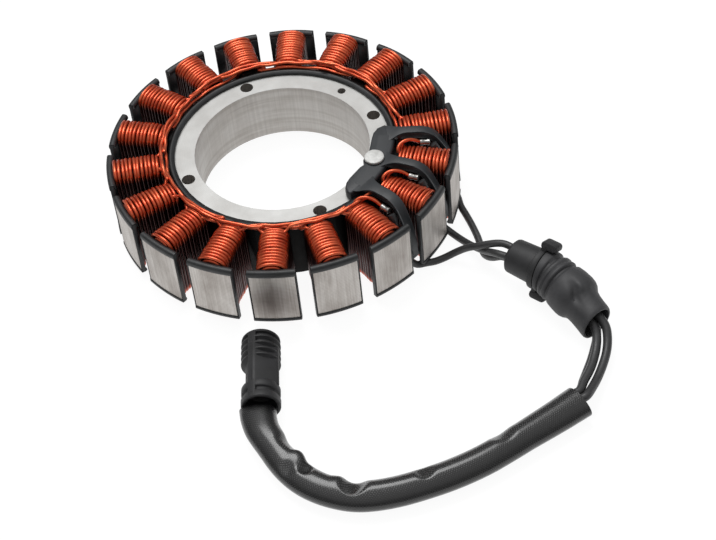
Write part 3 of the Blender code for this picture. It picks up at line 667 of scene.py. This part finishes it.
def spun_profile(profile, steps):
    """Spins an open (radius, height) profile in millimetres into a closed solid round Z."""
    bm = bmesh.new()
    line = [bm.verts.new((radius * MM, 0, height * MM)) for radius, height in profile]
    swept = line + [bm.edges.new(pair) for pair in zip(line, line[1:])]
    bmesh.ops.spin(bm, geom=swept, axis=(0, 0, 1), angle=tau, steps=steps, use_merge=True)
    bmesh.ops.remove_doubles(bm, verts=bm.verts[:], dist=0.002 * MM)
    bmesh.ops.recalc_face_normals(bm, faces=bm.faces[:])
    return bm


def move(bm, matrix):
    bmesh.ops.transform(bm, matrix=matrix, verts=bm.verts[:])


rivet = spun_profile(RIVET_PROFILE, 48)
move(rivet, Matrix.Translation(RIVET_AT))
finish_piece(mesh_piece("holder_rivet_set", rivet, rivet_aluminium), "holder_rivet")

# In each slot a coil's doubled end wire loops over the first turns into a tinned crimp, where
# the lead is joined to it. The crimps lie in the shade of the arms.
TAIL_ROUTES = (
    ((48.3, -8.7, 32.4), (48.3, -7.7, 33.8), (49.4, -5.9, 34.7), (51.7, -4.3, 34.9),
     (54.4, -3.0, 33.8), (56.8, -2.4, 32.2)),
    ((49.3, -6.0, 31.6), (49.6, -5.0, 33.1), (51.0, -3.7, 33.9), (53.0, -2.8, 33.8),
     (55.0, -2.3, 32.8), (57.0, -2.3, 31.8)),
)
CRIMP_PROFILE = (
    (0, 57.2), (1.1, 57.2), (1.3, 57.35), (1.3, 58.2), (1.12, 58.6), (1.12, 59.6), (1.3, 60.0),
    (1.3, 61.05), (1.1, 61.2), (0, 61.2),
)
LAY_DOWN = Matrix.Rotation(radians(90), 4, "Y")
CRIMP_PLACE = Matrix.Translation(Vector((0, -2.4, 31.8)) * MM) @ LAY_DOWN

tinned_copper = mottled_skin(
    "tinned_copper_crimp",
    mottle=(900.0, 3.0, (0.3, "#6f6f6d"), (0.7, "#b4b3af")),
    roughness=(0.28, 0.45),
    dents=((1500.0, 2.0, 0.05, 0.5),),
    Metallic=1.0,
)

for number, slot_angle in enumerate(SLOTS, start=1):
    tails = [
        smooth_line([in_slot(slot_angle, *point) for point in route], 6) for route in TAIL_ROUTES
    ]
    wire = wire_piece(f"coil_tail_wire_{number}", tails)
    finish_piece(wire, f"coil_tail_{number}")
    crimp = spun_profile(CRIMP_PROFILE, 24)
    move(crimp, Matrix.Rotation(slot_angle, 4, "Z") @ CRIMP_PLACE)
    piece = mesh_piece(f"tinned_crimp_{number}", crimp, tinned_copper)
    finish_piece(piece, f"crimp_{number}")

# The case plug seals the leads' way through the engine case. It is a round black moulding with a
# chamfered lead end and a flange, from which two square ears run on over the boot.
PLUG_START = Vector((104.4, -15.0, 13.8)) * MM
PLUG_SEAM = Vector((116.27, -18.22, 13.8)) * MM
PLUG_AXIS = (PLUG_SEAM - PLUG_START).normalized()
EAR_TILT = radians(-24)
EAR_SIZE = (7.2, 5.2, 3.4)
EAR_MIDDLE = (15.9, 11.0)
WEB_SIZE = (2.1, 4.9, 5.0)
WEB_MIDDLE = (13.8, 7.8)
PLUG_PROFILE = (
    (0, 0), (5.4, 0), (5.9, 0.2), (6.85, 0.9), (7.1, 1.5), (7.55, 12.0), (8.4, 12.25),
    (8.8, 12.5), (8.9, 12.9), (8.9, 14.5), (8.7, 14.85), (0, 14.9),
)

plug_moulding = mottled_skin(
    "ground_plug_moulding",
    mottle=(110.0, 4.0, (0.3, "#1c1c1d"), (0.72, "#28282a")),
    roughness=(0.48, 0.66),
    dents=((260.0, 3.0, 0.1, 0.35), (2400.0, 2.0, 0.05, 0.5)),
)


def block(size, centre, roll, axis, corner_round, edge_round):
    """A box in millimetres, rolled about X.

    Its edges along one axis (0 for X) take the corner rounding, and the others the edge one.
    """
    made = bmesh.new()
    shape = Matrix.Translation(Vector(centre) * MM) @ Matrix.Diagonal((*(Vector(size) * MM), 1))
    bmesh.ops.create_cube(made, size=1.0, matrix=shape)

    def runs_along(edge):
        run = edge.verts[0].co - edge.verts[1].co
        return abs(run[axis]) > 0.9 * run.length

    soften_edges(made, corner_round * MM, segments=5, chosen=runs_along)
    soften_edges(made, edge_round * MM, segments=2)
    move(made, Matrix.Rotation(roll, 4, "X"))
    return made


case_plug = spun_profile(PLUG_PROFILE, 64)
move(case_plug, LAY_DOWN)
for side in (-1, 1):
    ear_at = (EAR_MIDDLE[0], 0, side * EAR_MIDDLE[1])
    add_to(case_plug, block(EAR_SIZE, ear_at, EAR_TILT, 1, 1.5, 0.6))
    web_at = (WEB_MIDDLE[0], 0, side * WEB_MIDDLE[1])
    add_to(case_plug, block(WEB_SIZE, web_at, EAR_TILT, 2, 0.3, 0.2))
level = Vector((0, 0, 1)).cross(PLUG_AXIS).normalized()
heading = Matrix((PLUG_AXIS, level, PLUG_AXIS.cross(level))).transposed().to_4x4()
move(case_plug, Matrix.Translation(PLUG_START) @ heading)
plug_piece = mesh_piece("case_plug_moulding", case_plug, plug_moulding, smooth_angle=40)
finish_piece(plug_piece, "case_plug")

# The boot is a soft black rubber hose pushed over the plug's back. It has three ribs, a bulge
# where the joints lie inside it, and a narrower mouth that the harness wires come out of.
BOOT_ROUTE = (
    (119.9, -19.2, 13.78), (122.8, -20.4, 13.5), (127.2, -22.7, 12.8), (132.0, -25.4, 12.0),
    (136.4, -28.2, 11.2), (141.0, -31.7, 10.1), (145.6, -35.2, 9.0),
)
BOOT_MOUTH_AXIS = Vector((0.88, -0.46, -0.08)).normalized()
BOOT_PROFILE = (
    (0.0, 8.1), (0.0, 8.7), (0.012, 8.85), (0.07, 8.9), (0.083, 8.75), (0.097, 8.05),
    (0.122, 8.0), (0.135, 8.7), (0.15, 9.1), (0.18, 9.2), (0.193, 8.8), (0.207, 8.75),
    (0.22, 9.15), (0.247, 9.3), (0.26, 9.05), (0.275, 8.2), (0.3, 8.15), (0.315, 8.9),
    (0.34, 9.5), (0.42, 9.85), (0.52, 9.95), (0.575, 9.75), (0.615, 9.3), (0.65, 8.5),
    (0.69, 7.85), (0.76, 7.55), (0.86, 7.5), (0.95, 7.55), (0.98, 7.45), (1.0, 7.1),
    (1.0, 6.55), (0.985, 6.25), (0.8, 6.1),
)
# A crease runs across the rubber where the bulge meets the mouth, and a ridge runs on from it.
# Each press: the place it is centred on, how far round it reaches, and its push.
BOOT_FOLDS = (
    ((135.0, -29.8, 20.9), 2.2, (-0.4, 0.8, -1.0)), ((135.4, -31.2, 20.0), 2.2, (-0.4, 0.8, -1.0)),
    ((135.8, -32.3, 18.7), 2.2, (-0.4, 0.8, -1.0)), ((136.3, -33.2, 17.3), 2.2, (-0.3, 0.6, -0.8)),
    ((137.5, -29.0, 20.6), 2.6, (0.2, -0.4, 0.5)), ((139.9, -27.6, 18.8), 3.0, (0.2, -0.4, 0.5)),
)
# The boot's first rings stand square to the plug. Past its bulge it turns to the mouth's way.
BOOT_SEAT = 2.9 * MM
SQUARE_WITHIN = 0.02
TURNS_FROM = 0.6
TURNS_OVER = 0.3

boot_rubber = mottled_skin(
    "soft_boot_rubber",
    mottle=(90.0, 5.0, (0.3, "#2b2b2d"), (0.72, "#404042")),
    roughness=(0.45, 0.68),
    dents=((150.0, 2.0, 0.3, 0.35), (1100.0, 3.0, 0.06, 0.4)),
)


def grown_tube(stations, sides, swell=None):
    """Extrudes a ring through (centre, axis, half width, half height) stations, ends closed.

    The UV map holds the way along the tube and the way round it, both in metres. Swell says how
    far the skin stands out at a turn round the tube and a way along it.
    """
    bm = bmesh.new()
    ring = bmesh.ops.create_circle(bm, segments=sides, radius=1.0, cap_ends=False)["verts"]
    shape = [vert.co.copy() for vert in ring]
    edges = list({edge for vert in ring for edge in vert.link_edges})
    bmesh.ops.holes_fill(bm, edges=edges, sides=0)
    address = {}
    walked = 0.0
    before = stations[0][0]
    for number, (centre, axis, half_width, half_height) in enumerate(stations):
        if number:
            grown = bmesh.ops.extrude_edge_only(bm, edges=edges)["geom"]
            fresh = {item for item in grown if isinstance(item, bmesh.types.BMVert)}
            edges = [
                item
                for item in grown
                if isinstance(item, bmesh.types.BMEdge) and fresh.issuperset(item.verts)
            ]
            ring = [
                next(e.other_vert(vert) for e in vert.link_edges if e.other_vert(vert) in fresh)
                for vert in ring
            ]
        across = axis.cross(Vector((0, 0, 1))).normalized()
        up = across.cross(axis).normalized()
        walked += (centre - before).length
        before = centre
        for place, (vert, flat) in enumerate(zip(ring, shape)):
            stand = swell(math.atan2(flat.y, flat.x), walked) if swell else 1.0
            out = across * (flat.x * half_width) + up * (flat.y * half_height)
            vert.co = centre + out * stand
            address[vert] = (walked, place)
    bmesh.ops.holes_fill(bm, edges=edges, sides=0)
    uv = bm.loops.layers.uv.new("UVMap")
    girth = math.pi * (stations[0][2] + stations[0][3])
    for face in bm.faces:
        places = [address[vert][1] for vert in face.verts]
        wraps = max(places) - min(places) > sides / 2
        for loop in face.loops:
            along, place = address[loop.vert]
            turn = place + sides if wraps and place < sides / 2 else place
            loop[uv].uv = (along, girth * turn / sides)
    bmesh.ops.recalc_face_normals(bm, faces=bm.faces[:])
    return bm


def press(bm, centre, reach, push):
    """Moves the surface near a point by the push, in millimetres, easing off to its reach."""
    spot = Vector(centre) * MM
    for vert in bm.verts:
        near = (vert.co - spot).length / (reach * MM)
        if near < 1:
            vert.co += Vector(push) * MM * (1 - near * near) ** 2


def at_share(line, share):
    """The point and the direction at a share of a line of even steps."""
    place = share * (len(line) - 1)
    i = min(len(line) - 2, int(place))
    axis = (line[min(len(line) - 1, i + 2)] - line[max(0, i - 1)]).normalized()
    return line[i].lerp(line[i + 1], place - i), axis


def evened(line, count):
    """The same line with so many even steps."""
    length = line_length(line)
    picked = [line[0]]
    walked = 0.0
    for a, b in zip(line, line[1:]):
        step = (b - a).length
        while len(picked) < count and walked + step >= length * len(picked) / count:
            picked.append(a.lerp(b, (length * len(picked) / count - walked) / step))
        walked += step
    return [*picked, line[-1]]


def line_length(points):
    return sum((b - a).length for a, b in zip(points, points[1:]))


route = [PLUG_SEAM + PLUG_AXIS * BOOT_SEAT, *(Vector(p) * MM for p in BOOT_ROUTE)]
route = evened(smooth_line(route, 10), 120)
stations = []
for share, radius in BOOT_PROFILE:
    centre, axis = at_share(route, share)
    bent = min(1.0, max(0.0, (share - TURNS_FROM) / TURNS_OVER))
    axis = PLUG_AXIS if share < SQUARE_WITHIN else axis.lerp(BOOT_MOUTH_AXIS, bent).normalized()
    stations.append((centre, axis, radius * MM, radius * MM))
boot = grown_tube(stations, 88)
for place, reach, push in BOOT_FOLDS:
    press(boot, place, reach, push)
boot_piece = mesh_piece("soft_rubber_boot", boot, boot_rubber, smooth_angle=50)
finish_piece(boot_piece, "rubber_boot")

# Three leads of 3 mm run from the crimps down the slots, out under the shoes and together to the
# case plug. Their jacket is smooth black silicone rubber with a soft shine.
LEAD_DIAMETER = 3.0 * MM
SLOT_ROUTE = (
    (62.5, -2.7, 30.8), (63.6, -2.9, 28.8), (64.2, -2.7, 26.0), (64.7, -1.8, 22.4),
    (65.3, -0.8, 18.0), (66.0, 0.0, 13.2), (66.8, 0.0, 8.9),
)
LEAD_ROUTES = (
    ((64.9, 23.5, 4.9), (66.3, 23.2, 1.75), (69.0, 19.6, 1.65), (71.7, 15.4, 1.65),
     (75.5, 11.2, 1.7), (79.7, 6.4, 1.8), (83.9, 1.1, 1.85), (87.1, -3.6, 1.9),
     (90.4, -8.4, 2.6), (94.6, -11.6, 5.4), (99.4, -13.02, 8.9), (104.02, -14.27, 10.0)),
    ((69.0, 0.0, 4.7), (73.0, -0.5, 2.2), (77.4, -2.4, 1.9), (82.6, -5.4, 3.2),
     (87.8, -8.9, 5.9), (92.7, -12.3, 9.2), (98.5, -16.15, 13.7), (103.1, -17.4, 14.7)),
    ((63.5, -22.7, 5.2), (65.9, -21.3, 1.85), (69.2, -19.2, 1.65), (72.4, -17.2, 1.65),
     (75.6, -14.8, 2.4), (79.6, -12.7, 4.7), (82.9, -12.2, 7.2), (85.8, -12.4, 9.4),
     (89.3, -12.6, 11.4), (93.1, -12.2, 13.2), (96.8, -11.9, 14.7), (100.3, -12.0, 15.6),
     (104.38, -13.06, 15.8)),
)

lead_jacket = mottled_skin(
    "silicone_lead_jacket",
    mottle=(140.0, 4.0, (0.3, "#2d2d2e"), (0.72, "#3d3d3e")),
    roughness=(0.32, 0.52),
    dents=((700.0, 3.0, 0.05, 0.4),),
)


def cord_piece(name, points, diameter):
    """A jacketed cord as one open curve, so that its own line can be measured."""
    curve = round_curve(name, [points], diameter / 2, 5)
    curve.materials.append(lead_jacket)
    return bpy.data.objects.new(name, curve)


for number, slot_angle in enumerate(SLOTS, start=1):
    route = [in_slot(slot_angle, *point) for point in SLOT_ROUTE]
    route += [Vector(point) * MM for point in LEAD_ROUTES[number - 1]]
    route = smooth_line(route, 4)
    lead = cord_piece(f"silicone_lead_{number}", route, LEAD_DIAMETER)
    finish_piece(lead, f"lead_wire_{number}")

# Three heavier wires of 3.5 mm leave the boot's mouth together, drop to the table and go into
# the sleeve. Their jacket is like the leads'.
HARNESS_DIAMETER = 3.5 * MM
HARNESS_ROUTES = (
    ((142.77, -31.64, 11.25), (146.2, -33.5, 10.9), (149.4, -36.0, 9.1),
     (151.3, -40.0, 7.0), (152.4, -44.9, 5.6), (152.8, -50.6, 5.0), (152.8, -57.3, 5.0),
     (152.6, -63.4, 6.2), (152.14, -69.28, 7.8), (150.8, -71.39, 7.8)),
    ((140.92, -34.95, 9.95), (144.36, -36.76, 9.64), (146.9, -40.0, 8.0),
     (148.2, -44.4, 6.5), (148.9, -50.1, 5.8), (149.1, -56.0, 6.0), (148.7, -62.0, 6.5),
     (148.76, -67.14, 7.0), (147.42, -69.25, 7.0)),
    ((141.75, -32.79, 6.3), (145.1, -34.6, 5.9), (146.5, -38.4, 3.8), (146.9, -42.4, 2.4),
     (147.3, -48.2, 1.9), (147.4, -54.9, 1.85), (147.6, -60.7, 2.0), (149.34, -67.5, 3.3),
     (148.0, -69.63, 3.3)),
)

for number, points in enumerate(HARNESS_ROUTES, start=1):
    route = smooth_line([Vector(point) * MM for point in points], 5)
    wire = cord_piece(f"harness_wire_run_{number}", route, HARNESS_DIAMETER)
    finish_piece(wire, f"harness_wire_{number}")

# The end plug is a black moulding: a body with one flat side, ribs to grip near its mouth, two
# collars, a low ridge along them, and an open skirt at the sleeve. Three tinned pins stand in it.
PLUG_TAIL = Vector((37.9, -113.4, 7.8)) * MM
PLUG_HEADING = radians(113.9)
PIN_CIRCLE = 4.6
FLAT_ROLL = radians(24)
FLAT_SIZE = (18.2, 11.5, 4.0)
FLAT_MIDDLE = (17.3, 0, 4.25)
RIDGE_ROLL = radians(-23)
RIDGE_SIZE = (31.6, 3.4, 1.4)
RIDGE_MIDDLE = (16.8, 0, 6.95)
END_PLUG_PROFILE = (
    (0, 8.0), (5.0, 8.0), (5.6, 7.4), (6.0, 1.2), (6.4, 0.2), (6.7, 0.0), (7.3, 0.0), (7.65, 0.35),
    (7.7, 2.9), (7.4, 3.35), (6.7, 3.5), (6.4, 3.8), (6.4, 4.6), (6.7, 5.1), (7.3, 5.3),
    (7.55, 5.7), (7.55, 8.2), (7.3, 8.6), (6.3, 8.8), (5.9, 9.1), (5.9, 19.4), (6.2, 19.9),
)
RIBS = 4
FIRST_RIB_AT = 20.3
RIB_PITCH = 2.95
RIB_PROFILE = (
    (7.45, 0.1), (7.7, 0.3), (7.75, 0.6), (7.7, 1.0), (7.45, 1.25), (6.4, 1.5), (6.2, 1.7),
    (6.2, 2.5), (6.4, 2.75),
)
PLUG_MOUTH_PROFILE = (
    (7.45, 32.1), (7.6, 32.35), (7.5, 32.9), (7.2, 33.3), (6.8, 33.4), (6.2, 33.4), (5.9, 33.1),
    (5.9, 26.9), (0, 26.9),
)

profile = list(END_PLUG_PROFILE)
for rib in range(RIBS):
    start = FIRST_RIB_AT + RIB_PITCH * rib
    profile += [(radius, start + along) for radius, along in RIB_PROFILE]
end_plug = spun_profile([*profile, *PLUG_MOUTH_PROFILE], 64)
move(end_plug, LAY_DOWN)
add_to(end_plug, block(FLAT_SIZE, FLAT_MIDDLE, FLAT_ROLL, 0, 1.6, 0.3))
add_to(end_plug, block(RIDGE_SIZE, RIDGE_MIDDLE, RIDGE_ROLL, 0, 0.65, 0.2))
end_place = Matrix.Translation(PLUG_TAIL) @ Matrix.Rotation(PLUG_HEADING, 4, "Z")
move(end_plug, end_place)
end_plug_piece = mesh_piece("end_plug_moulding", end_plug, plug_moulding, smooth_angle=40)
finish_piece(end_plug_piece, "end_plug")

PIN_PROFILE = ((0, 27.2), (0.7, 27.2), (0.7, 31.4), (0.5, 31.95), (0.2, 32.2), (0, 32.2))
tinned_pin = mottled_skin(
    "tinned_pin_brass",
    mottle=(800.0, 3.0, (0.3, "#b9b29c"), (0.7, "#e4dfcf")),
    roughness=(0.2, 0.36),
    dents=((2000.0, 2.0, 0.02, 0.4),),
    Metallic=1.0,
)
for number in range(1, 4):
    turn = radians(90) + tau * number / 3
    aside = Vector((0, PIN_CIRCLE * math.cos(turn), PIN_CIRCLE * math.sin(turn))) * MM
    pin = spun_profile(PIN_PROFILE, 20)
    move(pin, end_place @ Matrix.Translation(aside) @ LAY_DOWN)
    pin_piece = mesh_piece(f"tinned_pin_{number}", pin, tinned_pin)
    finish_piece(pin_piece, f"contact_pin_{number}")

# The sleeve is glass yarn knitted into a loose tube and coated black. It lies flattened on the
# table with a soft crease along its back, flares at its cut ends and buckles where it bends.
SLEEVE_ROUTE = (
    (149.9, -71.5, 5.6), (147.3, -75.6, 5.6), (144.0, -80.8, 5.6), (136.8, -91.5, 5.6),
    (130.2, -101.2, 5.6), (125.2, -108.1, 5.6), (119.3, -114.9, 5.6), (112.9, -121.2, 5.6),
    (104.6, -128.2, 5.6), (98.5, -132.6, 5.6), (92.4, -136.1, 5.6), (86.6, -138.4, 5.6),
    (80.6, -139.4, 5.6), (73.8, -139.4, 5.6), (67.0, -138.2, 5.6), (60.8, -135.8, 5.7),
    (54.6, -132.2, 6.2), (48.4, -127.4, 7.0), (43.0, -122.4, 7.6), (39.8, -117.7, 7.8),
    (38.05, -113.75, 7.8),
)
SLEEVE_STATIONS = 190
SLEEVE_WALL = 0.5 * MM
TURNED_IN = 8
# Half the width and height, in millimetres, and what each flare adds to them.
SLEEVE_HALVES = (6.2, 4.7)
FLARE_GROWS = (0.9, 0.1)
PLUG_FLARE_GROWS = (1.0, -0.6)
PLUG_END_SHIFT = (-1.3, -1.2)
SLEEVE_FLARE = 26 * MM
PLUG_END_FLARE = 22 * MM
YARN_PITCH = 0.75 * MM
YARN_LEAN = radians(38)
# The crease and the hollow beside it: the turn from the crease, how far out, and how broad.
CREASE_WAVES = ((0.0, 0.045, 0.45), (radians(52), -0.05, 0.55))
# Each buckle is a press, as on the boot.
BUCKLES = (
    ((84.7, -136.0, 9.8), 6.5, (0.9, -3.4, -1.6)), ((79.0, -134.6, 9.6), 5.0, (0, 0.7, 0.3)),
    ((60.6, -131.5, 9.6), 5.0, (0.5, 1.9, 0.6)), ((65.4, -134.8, 10.2), 4.0, (0.3, -1.6, -1.2)),
    ((59.4, -137.8, 10.6), 4.5, (0.2, -0.3, -0.8)), ((53.6, -126.2, 9.6), 6.0, (-1.2, -0.7, 0)),
    ((107.6, -122.9, 9.6), 4.5, (0.3, -1.3, -0.9)), ((128.5, -97.5, 9.4), 6.0, (0.2, -0.8, -0.6)),
)

yarn = new_material("coated_glass_yarn_sleeve")
uv = add_node(yarn, "ShaderNodeUVMap").outputs[0]
bands = []
for lean in (-YARN_LEAN, YARN_LEAN):
    inputs = {"Vector": uv, "Rotation": (0, 0, lean)}
    turned = add_node(yarn, "ShaderNodeMapping", inputs).outputs[0]
    inputs = {"Vector": turned, "Scale": WAVE_SPACING / YARN_PITCH, "Distortion": 0.5}
    bands.append(add_node(yarn, "ShaderNodeTexWave", inputs).outputs["Fac"])
stitch = maths(yarn, "MULTIPLY", *bands)
thread = ramped(yarn, stitch, ((0.2, "#8c8c8c"), (0.8, "#ffffff")))
fuzz = noise(yarn, uv, 2600.0, 3.0)
nap = bump(yarn, fuzz, 0.03 * MM, 0.4)
dust = noise(yarn, uv, 160.0, 4.0, ramp=((0.35, "#08080a"), (0.7, "#141415")))
finish_material(
    yarn,
    Base_Color=blend(yarn, 0.6, dust, thread),
    Roughness=scaled(yarn, fuzz, 0.2, 0.4),
    Normal=bump(yarn, stitch, 0.13 * MM, 0.8, nap),
    Specular_IOR_Level=0.35,
    Coat_Weight=0.9,
    Coat_Roughness=0.2,
)


def crease(turn, walked):
    """The skin stands out in a soft crease along the back and falls in beside it."""
    middle = radians(76 + 10 * math.sin(walked / (29 * MM)))
    stand = 1.0
    for beside, height, breadth in CREASE_WAVES:
        off = math.remainder(turn - middle - beside, tau)
        stand += height * math.exp(-((off / breadth) ** 2))
    return stand


sleeve_line = evened(smooth_line([Vector(p) * MM for p in SLEEVE_ROUTE], 10), SLEEVE_STATIONS)
sleeve_length = line_length(sleeve_line)
stations = []
for number in range(SLEEVE_STATIONS + 1):
    centre, axis = at_share(sleeve_line, number / SLEEVE_STATIONS)
    from_end = number / SLEEVE_STATIONS * sleeve_length
    flare = max(0.0, 1 - from_end / SLEEVE_FLARE)
    plug_flare = max(0.0, 1 - (sleeve_length - from_end) / PLUG_END_FLARE) ** 1.5
    # The plug's end also shifts aside and down, off the plug's middle line.
    aside = axis.cross(Vector((0, 0, 1))) * (PLUG_END_SHIFT[0] * plug_flare)
    centre = centre + (aside + Vector((0, 0, PLUG_END_SHIFT[1] * plug_flare))) * MM
    halves = [
        (half + grown * flare + plug_grown * plug_flare) * MM
        for half, grown, plug_grown in zip(SLEEVE_HALVES, FLARE_GROWS, PLUG_FLARE_GROWS)
    ]
    stations.append((centre, axis, *halves))
inner = [(c, a, w - SLEEVE_WALL, h - SLEEVE_WALL) for c, a, w, h in stations]
stations = inner[TURNED_IN::-1] + stations + inner[: -TURNED_IN - 1 : -1]
sleeve = grown_tube(stations, 48, crease)
for place, reach, push in BUCKLES:
    press(sleeve, place, reach, push)
sleeve_piece = mesh_piece("knitted_sleeve_run", sleeve, yarn, smooth_angle=60)
finish_piece(sleeve_piece, "braided_sleeve")

# A white sheet lies under and behind the part, lit by a soft box and the white room. It shows
# white to the camera and in reflections, and keeps the part's faint shadow.
sweep = new_material("white_paper_sweep")
ray = add_node(sweep, "ShaderNodeLightPath").outputs
seen = maths(sweep, "MAXIMUM", ray["Is Camera Ray"], ray["Is Glossy Ray"])
seen = maths(sweep, "MAXIMUM", seen, ray["Is Transmission Ray"])
paper = add_node(sweep, "ShaderNodeBsdfDiffuse", {"Color": (0.8, 0.8, 0.8, 1)})
faint = add_node(sweep, "ShaderNodeBsdfDiffuse", {"Color": (0.12, 0.12, 0.12, 1)})
glow = add_node(sweep, "ShaderNodeEmission", {"Strength": 0.93})
white = add_node(sweep, "ShaderNodeAddShader", {0: faint.outputs[0], 1: glow.outputs[0]})
inputs = {0: seen, 1: paper.outputs[0], 2: white.outputs[0]}
surface = add_node(sweep, "ShaderNodeMixShader", inputs)
add_node(sweep, "ShaderNodeOutputMaterial", {"Surface": surface.outputs[0]})
bm = bmesh.new()
bmesh.ops.create_grid(bm, x_segments=1, y_segments=1, size=3)
floor = mesh_piece("white_table", bm, sweep)
put_in_scene(floor)

# The room is bright overhead and falls off towards the level.
world = bpy.data.worlds.new("white_studio")
bpy.context.scene.world = world
world.use_nodes = True
toward = add_node(world, "ShaderNodeTexCoord").outputs["Generated"]
height = add_node(world, "ShaderNodeSeparateXYZ", {"Vector": toward}).outputs["Z"]
ceiling = [
    (up, (shade, shade, shade, 1))
    for up, shade in ((0.0, 0.14), (0.5, 0.3), (0.8, 0.72), (1.0, 0.82))
]
sky = add_node(world, "ShaderNodeValToRGB", {"Fac": height}, ceiling).outputs[0]
world.node_tree.links.new(sky, world.node_tree.nodes["Background"].inputs["Color"])

soft_box = bpy.data.lights.new("soft_box", "AREA")
soft_box.shape = "RECTANGLE"
soft_box.size = 0.55
soft_box.size_y = 0.38
soft_box.energy = 4.4
lamp = bpy.data.objects.new("soft_box", soft_box)
lamp_place = Vector((-0.2, 0.2, 0.84))
lamp.matrix_world = Matrix.LocRotScale(lamp_place, lamp_place.to_track_quat("Z", "Y"), None)
put_in_scene(lamp)

# The camera stands in front of the part, a little to the right, and looks down on it.
camera_data = bpy.data.cameras.new("photo_view")
camera_data.sensor_width = 36.0
camera_data.lens = 93.03
camera_data.clip_start = 0.01
camera = bpy.data.objects.new("photo_view", camera_data)
right = Vector((0.92572, 0.37040, -0.07651))
down = Vector((0.22483, -0.70157, -0.67620))
forward = Vector((-0.30414, 0.60877, -0.73273))
turn = Matrix((right, -down, -forward)).transposed().to_4x4()
camera.matrix_world = Matrix.Translation(Vector((272.44, -488.41, 551.74)) * MM) @ turn
put_in_scene(camera)
scene = bpy.context.scene
scene.camera = camera
scene.view_settings.view_transform = "Standard"
